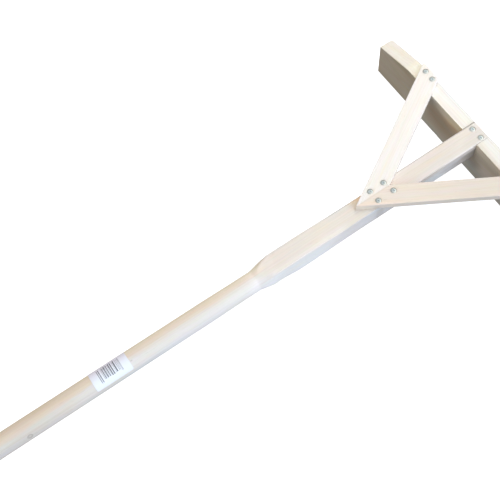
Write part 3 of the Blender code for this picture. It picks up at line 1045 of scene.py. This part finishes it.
def screw_mesh(length):
    """Countersunk chipboard screw, its head's top at z = 0."""
    name = f"screw_{int(round(length / MM))}"
    made = boolean_cut(screw_blank(length), cross_recess(), name, 34)
    recess = []
    for vert in made.vertices:
        x, y, z = vert.co
        inside = math.hypot(x, y) < 2.5 * MM and -2.3 * MM < z < -0.05 * MM
        recess.append(min(1.0, -z / (0.5 * MM)) if inside else 0.0)
    float_attribute(made, "recess", recess)
    return made


# ==== Label ====
LABEL_CORNER = 2.5 * MM
LABEL_IN, LABEL_OUT = HANDLE_HALF + 0.05 * MM, HANDLE_HALF + 0.17 * MM  # radii of its faces
FIRST_BAR = LABEL_HI.y - 11.2 * MM
BAR_HEIGHT = 17.5 * MM
BAR_RHYTHM = (
    # (middle, width, how much longer) in millimetres, from the end nearer the board: made up,
    # it follows no code and spells nothing
    (0.2, 0.4, 2.0), (1.3, 0.4, 2.0), (3.0, 0.4, 0.0), (4.6, 0.45, 0.0), (7.4, 1.5, 0.0),
    (9.3, 0.3, 0.0), (12.0, 1.3, 0.6), (14.5, 1.35, 0.6), (16.1, 0.3, 0.0), (17.9, 1.0, 0.0),
    (19.3, 0.3, 0.0), (20.9, 1.3, 0.0), (22.4, 0.3, 0.0), (23.9, 1.0, 0.0), (25.5, 0.35, 0.0),
    (29.0, 1.0, 2.4), (31.2, 0.75, 2.4),
)
BARS = [  # start y, end y, extra length
    (FIRST_BAR - (at - width / 2) * MM, FIRST_BAR - (at + width / 2) * MM, extra * MM)
    for at, width, extra in BAR_RHYTHM
]


def label_stations():
    """Places along Y: ends, rounded corners, bar edges, and filling between them."""
    near, far = LABEL_HI.y, LABEL_LO.y
    places = {round(near, 7), round(far, 7)}
    for k in range(9):
        inset = LABEL_CORNER * (1 - math.cos(k * math.pi / 16))
        places |= {round(near - inset, 7), round(far + inset, 7)}
    for start, end, _ in BARS:
        places |= {round(start, 7), round(end, 7)}
    for y in countdown(near, far, 1.5 * MM):
        if min(abs(y - place) for place in places) > 0.3 * MM:
            places.add(round(y, 7))
    return sorted(places, reverse=True)


def label_mesh():
    """The sheet wrapped on the turned handle; arc places are measured from its middle."""
    near, far = LABEL_HI.y, LABEL_LO.y
    points = cad_points("barcode_label")
    degrees = np.degrees(np.arctan2(points[:, 2] - AXIS_Z, points[:, 0]))
    start, end = math.radians(float(degrees.min())), math.radians(float(degrees.max()))
    middle = (start + end) / 2
    half_arc = (end - start) / 2 * LABEL_OUT
    stations = label_stations()
    # the bars stand on the label's upper part
    bar_low = (math.radians(63.0) - middle) * LABEL_OUT
    bar_high = bar_low + BAR_HEIGHT
    width = 2 * half_arc - 2 * LABEL_CORNER
    inner = [-half_arc + LABEL_CORNER + k * width / 36 for k in range(37)]
    inner = [at for at in inner if min(abs(at - bar_low), abs(at - bar_high)) > 0.3 * MM]
    inner += [bar_low - 2.4 * MM, bar_low - 2.0 * MM, bar_low - 0.6 * MM, bar_low,
              bar_high - 0.02 * MM]
    inner = sorted(set(inner))

    def half_at(y):
        """Half the arc at y, less in the rounded corners."""
        into = min(near - y, y - far)
        if into >= LABEL_CORNER:
            return half_arc
        short = LABEL_CORNER - into
        rise = math.sqrt(max(LABEL_CORNER * LABEL_CORNER - short * short, 0.0))
        return half_arc - LABEL_CORNER + rise

    arcs = []
    for y in stations:
        half = half_at(y)
        step = (-half_arc + LABEL_CORNER + half) * 0.5
        arcs.append(sorted([-half, -half + step] + inner + [half - step, half]))

    solid = bmesh.new()
    sheets = []
    for radius in (LABEL_IN, LABEL_OUT):
        rows = []
        for y, arc in zip(stations, arcs):
            row = []
            for at in arc:
                # one corner has started to come away, by a few tenths
                apart = math.hypot(y - far, at - half_arc) / (7 * MM)
                reach = radius + 0.28 * MM * max(0.0, 1 - apart) ** 2
                reach += 0.015 * MM * noise.noise(Vector((y * 160, at * 160, 3.0)))
                angle = middle + at / LABEL_OUT
                x, z = reach * math.cos(angle), AXIS_Z + reach * math.sin(angle)
                row.append(solid.verts.new((x, y, z)))
            rows.append(row)
        sheets.append(rows)

    def inked(y, at):
        return at < bar_high and any(
            first > y > last and at > bar_low - extra for first, last, extra in BARS
        )

    inside, outside = sheets
    columns = len(arcs[0])
    for i in range(len(stations) - 1):
        y, arc = (stations[i] + stations[i + 1]) / 2, arcs[i]
        for sheet in sheets:
            row, after = sheet[i], sheet[i + 1]
            for k in range(columns - 1):
                face = solid.faces.new((row[k], row[k + 1], after[k + 1], after[k]))
                ink = sheet is outside and inked(y, (arc[k] + arc[k + 1]) / 2)
                face.material_index = 1 if ink else 0
        for k in (0, columns - 1):
            solid.faces.new((inside[i][k], inside[i + 1][k], outside[i + 1][k], outside[i][k]))
    for i in (0, len(stations) - 1):
        for k in range(columns - 1):
            solid.faces.new((inside[i][k], outside[i][k], outside[i][k + 1], inside[i][k + 1]))
    mesh = mesh_from(solid, "label_sticker", 40)

    turn, edge = [], []
    for vert in mesh.vertices:
        y = vert.co.y
        angle = math.atan2(vert.co.z - AXIS_Z, vert.co.x)
        turn.append(math.degrees(angle) / 180.0)
        inset = min(half_at(y) - abs((angle - middle) * LABEL_OUT), near - y, y - far)
        edge.append(fade(max(0.0, inset), 0.5 * MM))
    float_attribute(mesh, "turn", turn)
    float_attribute(mesh, "edge", edge)
    return mesh


# ==== Painted light and shade, piece by piece ====
# A mask made by a partial of net.span goes from 0 at its first number to 1 at its second, or
# between its third and fourth. Places are in metres.
def painted_tints(net, colour, rows):
    """Multiplies by each row's tint where its masks overlap: painted light and shade."""
    for tint, *masks in rows:
        colour = net.mix(net.product(*masks), colour, net.join(*tint), "MULTIPLY")
    return colour


def patch(net, across, up, centre, radii, lean=0.0):
    """A soft-edged oval on a face, its long way leaning by up per across."""
    shift = net.minus(across, centre[0])
    rise = net.times_plus(shift, -lean, net.minus(up, centre[1]))
    distance = net.hypot(
        net.maths("DIVIDE", shift, radii[0]), net.maths("DIVIDE", rise, radii[1])
    )
    return net.span(distance, 0.25, 1.0, 1.0, 0.0)


def uneven(net, value, p, amount, seed):
    """The value with slow cloudy variation added, so that no painted tint has a drawn edge."""
    scaled = [net.times_plus(part, k, seed) for part, k in zip(net.split(p), (60.0, 24.0, 60.0))]
    return net.plus(value, net.sway(net.noise(net.join(*scaled)), amount))


def shade_handle(net, p, colour):
    x, y, z = net.split(net.coords())
    back = uneven(net, net.minus(INNER_Y, y), p, 0.05, 2.2)
    angle = net.maths("ARCTAN2", net.minus(z, AXIS_Z), x)
    degrees = uneven(net, net.times(angle, 180.0 / math.pi), p, 26.0, 7.7)
    along, around = partial(net.span, back), partial(net.span, degrees)
    across, level = partial(net.span, x), partial(net.span, z)
    # painted light and shade on the turned part, by distance back and by side: cool light on the
    # lower right, warm light on the upper left, a painted shadow band below the label
    turned = along(0.335, 0.36)
    grip = along(0.545, 0.70)
    near = along(0.345, 0.44, 1.0, 0.0)
    low = around(60.0, 98.0, 1.0, 0.0)
    warm_lit_side = net.span(net.times_plus(grip, 20.0, degrees), 78.0, 98.0)
    colour = painted_tints(net, colour, (  # tint, masks
        ((0.995, 1.04, 1.075), turned, low),
        ((1.07, 1.07, 1.06), turned, low, near),
        ((1.05, 1.055, 1.075), net.product(along(0.315, 0.338), along(0.385, 0.35))),
        # painted shade: the lower side darker towards the butt, where the light falls off
        ((0.86, 0.835, 0.80), turned, grip, around(38.0, 92.0, 1.0, 0.0)),
        ((1.05, 0.98, 0.915), turned, warm_lit_side),
        ((1.05, 1.10, 1.13), turned, around(105.0, 136.0)),
        ((1.04, 1.06, 1.09), turned, warm_lit_side, near),
        ((0.96, 0.945, 0.93), turned, warm_lit_side, grip),
        # painted shadow band below the label
        ((0.88, 0.91, 0.91), along(0.47, 0.53), along(0.64, 0.58), around(34.0, 8.0)),
        ((1.05, 1.055, 1.025), turned, around(98.0, 110.0), along(0.68, 0.50)),
    ))
    # painted light and shade on the square part: its top face, right flank and corners
    face = net.product(level(AXIS_Z + 0.0132, AXIS_Z + 0.0146), along(0.345, 0.325))
    flank = net.product(across(0.0134, 0.0147), along(0.36, 0.33))
    normal_z = net.split(net.coords("Normal"))[2]
    left_arris = net.product(across(-0.0128, -0.0140), net.span(normal_z, 0.1, 0.35))
    far = net.product(
        along(0.20, 0.235), along(0.345, 0.325), level(AXIS_Z + 0.0118, AXIS_Z + 0.0134)
    )
    under = level(0.0695, 0.061)
    return painted_tints(net, colour, (  # tint, masks
        ((0.975, 0.965, 0.97), face, along(0.0, 0.05), along(0.17, 0.12)),
        ((0.955, 0.955, 0.96), face, across(-0.006, 0.0), along(0.02, 0.0)),
        ((1.05, 1.045, 1.05), face, along(0.205, 0.245)),
        # painted warm shade beside the tip of the left brace
        ((1.10, 0.915, 0.725), patch(net, back, x, (0.174, -0.0140), (0.034, 0.0105))),
        # right top corner: painted shade, damping the highlight along the arris
        ((0.93, 0.925, 0.91), net.attribute("wear"), along(0.345, 0.325), along(0.14, 0.18),
         across(0.006, 0.012)),
        ((0.94, 0.91, 0.875), flank, along(0.10, 0.13), along(0.19, 0.155),
         level(0.073, 0.066)),
        # painted shade along the left arris, turned away from the light
        ((0.92, 0.915, 0.905), left_arris, along(0.345, 0.325)),
        ((0.80, 0.80, 0.81), left_arris, along(0.25, 0.21)),
        ((1.055, 1.065, 1.05), far, across(0.007, 0.011)),
        ((1.02, 0.955, 0.945), far, across(0.0128, 0.0140)),
        ((0.99, 1.01, 1.07), face, along(0.004, -0.004), across(0.0, -0.006)),
        # right flank beside the board: painted shadow in the corner against the board, with
        # painted light and shade further along
        ((0.53, 0.53, 0.53), flank, along(0.060, 0.0), under),
        ((0.98, 1.05, 1.12), flank, along(0.02, 0.045), along(0.125, 0.095), under),
        ((0.92, 0.93, 0.95), flank, along(0.02, 0.045), along(0.125, 0.095),
         level(0.061, 0.0695), level(0.0740, 0.0715)),
        ((1.08, 1.08, 1.09), across(0.0128, 0.0144), along(0.066, 0.052),
         level(0.0715, 0.0735)),
        ((0.87, 0.87, 0.85), across(0.0128, 0.0144), along(0.048, 0.060),
         along(0.105, 0.085), level(0.0715, 0.0735)),
        ((0.86, 0.88, 0.93), flank, along(0.024, 0.034), along(0.062, 0.048),
         level(0.062, 0.052)),
        ((0.945, 0.94, 0.96), flank, along(0.022, 0.030), along(0.060, 0.048),
         level(0.052, 0.058), level(0.074, 0.071)),
        ((0.92, 0.93, 0.93), flank, along(0.008, 0.013), along(0.028, 0.022),
         level(0.060, 0.054)),
        ((1.01, 1.08, 1.13), flank, along(0.052, 0.064), along(0.10, 0.085),
         level(0.068, 0.062)),
        # right flank further back: painted shade under and behind the brace's tip, and painted
        # light beyond it
        ((1.07, 1.045, 1.02), flank, along(0.165, 0.180), along(0.215, 0.20)),
        ((0.80, 0.868, 0.945), flank, along(0.095, 0.125), along(0.25, 0.175)),
        ((1.05, 1.13, 1.165), flank, along(0.20, 0.28)),
    ))


def shade_board(net, p, colour):
    x, y, z = net.split(net.coords())
    level, deep = partial(net.span, z), partial(net.span, y)
    x = uneven(net, x, p, 0.022, 5.1)
    z = uneven(net, z, p, 0.012, 9.4)
    across, rise, oval = partial(net.span, x), partial(net.span, z), partial(patch, net, x, z)
    inner = deep(INNER_Y + 1.4 * MM, INNER_Y + 0.7 * MM)
    lid = net.product(
        level(BOARD_TOP - 0.6 * MM, BOARD_TOP - 0.2 * MM),
        deep(INNER_Y + 3 * MM, INNER_Y + 7 * MM),
    )
    normal_z = net.split(net.coords("Normal"))[2]
    rightward = net.product(
        across(0.016, 0.022), level(BOARD_TOP - 0.6 * MM, BOARD_TOP - 0.2 * MM)
    )
    middle = net.product(inner, across(-0.098, -0.080), across(-0.018, -0.028))
    return painted_tints(net, colour, (  # tint, masks
        # top face, with its front arris: painted cool light and shade on the face, and painted
        # shade that damps the overlit front arris
        ((1.0, 1.035, 1.075), lid),
        ((0.66, 0.65, 0.63), deep(FRONT_Y - 1.6 * MM, FRONT_Y - 0.7 * MM),
         net.span(normal_z, 0.15, 0.45)),
        ((0.965, 0.955, 0.945), lid, across(-0.066, -0.082), across(-0.14, -0.12)),
        ((0.96, 0.955, 0.955), rightward),
        ((0.93, 0.94, 0.93), rightward, deep(INNER_Y + 8.0 * MM, INNER_Y + 2.0 * MM)),
        # inner face, left of the handle: painted shadow of the left brace, and painted light
        # where it comes through between brace and handle
        ((1.06, 1.02, 0.965), inner, across(-0.10, -0.13)),
        ((1.08, 1.12, 1.13), inner, rise(0.024, 0.006), across(0.0, -0.03),
         across(-0.15, -0.12)),
        ((0.975, 0.905, 0.845), middle, rise(0.004, 0.020), rise(0.060, 0.046)),
        ((0.82, 0.775, 0.725), inner, oval((-0.062, 0.045), (0.048, 0.030), lean=-0.20)),
        ((0.86, 0.90, 0.94), inner, oval((-0.092, 0.066), (0.030, 0.022))),
        ((1.02, 1.07, 1.12), inner, oval((-0.094, 0.045), (0.022, 0.020))),
        ((1.21, 1.21, 1.16), inner, rise(0.054, 0.064), across(-0.088, -0.050),
         across(0.0, -0.02)),
        ((1.10, 1.08, 1.06), inner, rise(0.052, 0.066), across(-0.05, -0.036),
         across(0.0, -0.02)),
        ((1.02, 0.95, 0.885), inner, oval((-0.036, 0.058), (0.026, 0.018))),
        ((0.86, 0.86, 0.80), inner, rise(0.056, 0.070), oval((-0.152, 0.068), (0.032, 0.03))),
        # inner face, under the handle and to its right: painted shade and painted light
        ((0.77, 0.75, 0.73), inner, oval((0.008, 0.036), (0.030, 0.028))),
        ((0.89, 0.98, 1.06), inner, oval((0.010, 0.006), (0.044, 0.028))),
        ((0.92, 0.905, 0.885), inner, across(0.002, 0.02)),
        ((1.15, 1.12, 1.12), inner, oval((0.050, 0.034), (0.034, 0.024))),
        ((1.02, 1.08, 1.14), inner, oval((0.085, 0.012), (0.055, 0.045))),
        ((1.20, 1.19, 1.17), inner, rise(0.056, 0.071), across(0.010, 0.018),
         across(0.12, 0.08)),
        # painted light beside the left brace, over the shadow it casts on the board's top
        ((1.12, 1.10, 1.06), level(BOARD_TOP - 2.5 * MM, BOARD_TOP - 1.5 * MM),
         deep(INNER_Y + 0.5 * MM, INNER_Y + 1.0 * MM), across(-0.105, -0.120),
         across(-0.150, -0.135)),
    ))


def shade_left_brace(net, _, colour):
    _, y, z = net.split(net.coords())
    normal_x, _, normal_z = net.split(net.coords("Normal"))
    along = partial(net.span, net.minus(INNER_Y, y))
    side = net.product(net.span(normal_z, 0.6, 0.3), net.span(normal_x, 0.0, 0.2))
    # painted cool light on the left top arris, then painted light and shade on the right side
    return painted_tints(net, colour, (  # tint, masks: left top arris, then the right side
        ((1.02, 1.08, 1.13), net.span(normal_z, 0.97, 0.8),
         net.span(z, BRACE_TOP - 1.2 * MM, BRACE_TOP - 0.9 * MM),
         net.span(normal_x, 0.1, -0.1)),
        ((1.17, 1.20, 1.16), side, along(0.0, 0.015), along(0.055, 0.040)),
        ((0.92, 0.93, 0.92), side, along(0.085, 0.10), along(0.128, 0.115)),
    ))


def shade_right_brace(net, p, colour):
    y = net.split(net.coords())[1]
    _, normal_y, normal_z = net.split(net.coords("Normal"))
    along = partial(net.span, uneven(net, net.minus(INNER_Y, y), p, 0.04, 4.4))
    # painted light at the mitred end, painted shade towards the front end, painted light on the
    # rearward side
    return painted_tints(net, colour, (  # tint, masks: mitred end, front end, rearward side
        ((1.04, 1.03, 1.02), along(0.13, 0.17)),
        ((0.925, 0.94, 0.945), along(0.13, 0.04)),
        ((1.08, 1.12, 1.13), net.span(normal_z, 0.6, 0.3), net.span(normal_y, 0.1, -0.1)),
    ))


# ==== Build the pieces ====
handle_wood = wood_material(
    "handle_wood", turn=0.0, pith=(0.047, AXIS_Z - 0.006), period=2.3 * MM,
    early=(0.804, 0.730, 0.625), late=(0.640, 0.493, 0.332),
    cool=(0.775, 0.721, 0.644), warm=(0.814, 0.711, 0.576),
    seed=3.7, contrast=0.27, shade=shade_handle,
    knots=(
        ((0.01337, INNER_Y - 0.7009, AXIS_Z + 0.0068), 3.4 * MM, 4.2 * MM, 0.42),
        # a small dark spot beside the label's corner, drawn as a knot
        ((0.00483, INNER_Y - 0.547, AXIS_Z + 0.0142), 0.9 * MM, 1.6 * MM, 0.5),
    ),
)
board_wood = wood_material(
    "board_wood", turn=90.0, pith=(-0.14, 0.03), period=3.1 * MM,
    early=(0.887, 0.816, 0.688), late=(0.680, 0.519, 0.349),
    cool=(0.866, 0.827, 0.719), warm=(0.887, 0.784, 0.635),
    seed=8.1, contrast=0.30, shade=shade_board,
    knots=(((-0.004, 0.143, 0.028), 4.5 * MM, 7.0 * MM, 0.75),),
)
left_wood = wood_material(
    "brace_left_wood", turn=-31.0, pith=(0.012, 0.03), period=2.7 * MM,
    early=(0.90, 0.83, 0.72), late=(0.74, 0.60, 0.43),
    cool=(0.90, 0.85, 0.77), warm=(0.91, 0.82, 0.70),
    seed=14.2, contrast=0.15, shade=shade_left_brace,
)
right_wood = wood_material(
    "brace_right_wood", turn=31.0, pith=(0.06, 0.055), period=1.9 * MM,
    early=(0.813, 0.699, 0.565), late=(0.658, 0.488, 0.329),
    cool=(0.794, 0.708, 0.602), warm=(0.832, 0.689, 0.527),
    seed=21.9, contrast=0.16, shade=shade_right_brace,
)
zinc = zinc_material()
paper = paper_material()
ink = ink_material()


def add_piece(name, mesh, materials, node):
    """Adds an object in place of a CAD node."""
    obj = add_object(name, mesh, materials)
    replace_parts(obj, node)
    return obj


def add_screws():
    """One mesh for each length, each screw turned differently."""
    meshes = {}
    for k, (node, (x, y, top, length)) in enumerate(SCREWS.items()):
        size = int(round(length / MM))
        if size not in meshes:
            meshes[size] = screw_mesh(length)
            meshes[size].materials.append(zinc)
        name = node.replace("screw_", "zinc_screw_")
        obj = add_piece(name, meshes[size], (), node)
        obj.location = (x, y, top)
        obj.rotation_euler = (0, 0, math.radians((37.0 * k + 11.0) % 90.0))


add_piece("handle_shaft", handle_mesh(), (handle_wood,), "handle")
add_piece("board_planed", board_mesh(), (board_wood,), "blade_board")
for node, side, seed, wood in (
    ("brace_left", -1, 31.0, left_wood), ("brace_right", 1, 47.0, right_wood),
):
    add_piece(node + "_planed", brace_mesh(node, side, seed), (wood,), node)
add_piece("label_sticker", label_mesh(), (paper, ink), "barcode_label")
add_screws()

for obj in list(bpy.context.scene.objects):
    if obj.type == "MESH" and "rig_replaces" in obj:
        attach(obj, "root")


# ==== Stage: pale floor, soft light, camera ====
FLOOR_HALF, FLOOR_Z = 14.0, -0.0006
SURROUND = (
    # azimuth and elevation in degrees, colour: broad soft sources, as a light tent's walls give
    (0, 90, (0.223, 0.217, 0.162)),
    (0, 48, (0.12, 0.149, 0.112)), (60, 48, (0.1, 0.1, 0.1)),
    (120, 48, (0.115, 0.1, 0.1)), (180, 48, (0.078, 0.076, 0.057)),
    (240, 48, (0.189, 0.179, 0.137)), (300, 48, (0.115, 0.098, 0.084)),
    (0, 8, (0.706, 0.81, 1.057)), (45, 8, (0.754, 0.837, 1.14)),
    (90, 8, (0.3, 0.3, 0.3)), (135, 8, (0.287, 0.25, 0.25)),
    (180, 8, (0.269, 0.24, 0.22)), (225, 8, (0.034, 0.03, 0.03)),
    (270, 8, (0.034, 0.03, 0.03)), (315, 8, (0.05, 0.05, 0.05)),
    (0, -40, (0.10, 0.10, 0.10)), (90, -40, (0.12, 0.12, 0.12)),
    (180, -40, (0.112, 0.10, 0.09)), (270, -40, (0.046, 0.04, 0.04)),
)
MIRROR_RAMP = (  # position from dark side to light side, grey level
    (0.0, 0.22), (0.14, 0.24), (0.36, 0.26), (0.53, 0.30), (0.64, 0.40), (0.76, 0.85),
    (0.88, 1.0),
)
KEY_TARGET, KEY_POWER = (0.0, -0.1, 0.07), 10.0
KEYS = (  # place, diameter, colour
    ((0.0, 0.4, 2.0), 0.7, (0.433, 0.539, 0.655)),
    ((-0.9, 0.9, 1.5), 0.7, (0.621, 0.573, 0.452)),
    ((0.0, 0.85, 1.8), 0.5, (0.086, 0.093, 0.13)),
    ((-0.42, 0.63, 1.8), 0.5, (0.549, 0.587, 0.69)),
    ((1.4, 0.3, 1.3), 1.6, (0.883, 0.997, 1.334)),
)
CAMERA_RIGHT = (0.55598607, 0.82853839, -0.0663599)
CAMERA_UP = (-0.74273929, 0.5310728, 0.40779901)
CAMERA_BACK = (0.37311907, -0.17744246, 0.91065709)
CAMERA_PLACE = (0.43035, INNER_Y - 0.56045, BOARD_TOP + 1.13469)


def add_floor():
    """A glowing white sheet, seen by the camera but casting nothing on the piece."""
    mesh = bpy.data.meshes.new("floor")
    corners = [(x * FLOOR_HALF, y * FLOOR_HALF, FLOOR_Z)
               for x, y in ((-1, -1), (1, -1), (1, 1), (-1, 1))]
    mesh.from_pydata(corners, [], [(0, 1, 2, 3)])
    material, net = new_material("floor_white")
    diffuse = net.new("ShaderNodeBsdfDiffuse", {"Color": (0.55, 0.55, 0.55)})
    glow = net.new("ShaderNodeEmission", {"Color": (1.0, 1.0, 1.0), "Strength": 0.97})
    both = net.new("ShaderNodeAddShader", {0: diffuse.outputs[0], 1: glow.outputs[0]})
    net.new("ShaderNodeOutputMaterial", {"Surface": both.outputs[0]})
    floor = add_object("floor", mesh, (material,))
    floor.visible_diffuse = False
    floor.visible_glossy = False
    floor.visible_transmission = False
    floor.visible_shadow = False


def add_world():
    """A soft surround whose light differs by direction, as tinted cloths would give."""
    world = bpy.data.worlds.new("studio")
    bpy.context.scene.world = world
    world.use_nodes = True
    net = Net(world.node_tree)
    direction = net.coords("Generated")
    total = None
    for azimuth, elevation, colour in SURROUND:
        turn, rise = math.radians(azimuth), math.radians(elevation)
        toward = (
            math.cos(rise) * math.cos(turn), math.cos(rise) * math.sin(turn), math.sin(rise)
        )
        facing = net.vec("DOT_PRODUCT", direction, toward)
        glow = net.maths("EXPONENT", net.times(net.minus(facing, 1.0), 4.0))
        part = net.scale(net.join(*colour), glow)
        total = part if total is None else net.vec("ADD", total, part)
    # what polished metal sees: dark cloth on one side, white towards +X and +Y
    across = net.vec("DOT_PRODUCT", direction, (0.556, 0.829, 0.0))
    seen = net.grey_ramp(net.span(across, -0.8, 0.6, kind="LINEAR"), MIRROR_RAMP)
    seen = net.scale(net.join(0.98, 1.0, 0.99), net.times(seen, 2.0))
    path = net.new("ShaderNodeLightPath")
    light = net.mix(path.outputs["Is Glossy Ray"], total, seen)
    light = net.mix(path.outputs["Is Camera Ray"], light, (1.15, 1.15, 1.15))
    background = net.new("ShaderNodeBackground", {"Color": light, "Strength": 1.0})
    net.new("ShaderNodeOutputWorld", {"Surface": background.outputs[0]})


def add_key(name, place, size, colour):
    data = bpy.data.lights.new(name, "AREA")
    data.shape = "DISK"
    data.size = size
    data.energy = KEY_POWER
    data.color = colour
    light = add_object(name, data)
    light.location = place
    light.rotation_mode = "QUATERNION"
    aim = Vector(KEY_TARGET) - Vector(place)
    light.rotation_quaternion = aim.to_track_quat("-Z", "Y")
    light.visible_glossy = False


def add_camera():
    data = bpy.data.cameras.new("camera")
    data.sensor_width = 36.0
    data.lens = 68.040648
    data.clip_start, data.clip_end = 0.05, 60.0
    camera = add_object("camera", data)
    rows = zip(CAMERA_RIGHT, CAMERA_UP, CAMERA_BACK, CAMERA_PLACE)
    camera.matrix_world = Matrix((*rows, (0, 0, 0, 1)))
    bpy.context.scene.camera = camera


add_floor()
add_world()
for k, (place, size, colour) in enumerate(KEYS):
    add_key("key_" + str(k), place, size, colour)
add_camera()
bpy.context.scene.view_settings.view_transform = "Standard"
bpy.context.scene.view_settings.look = "None"
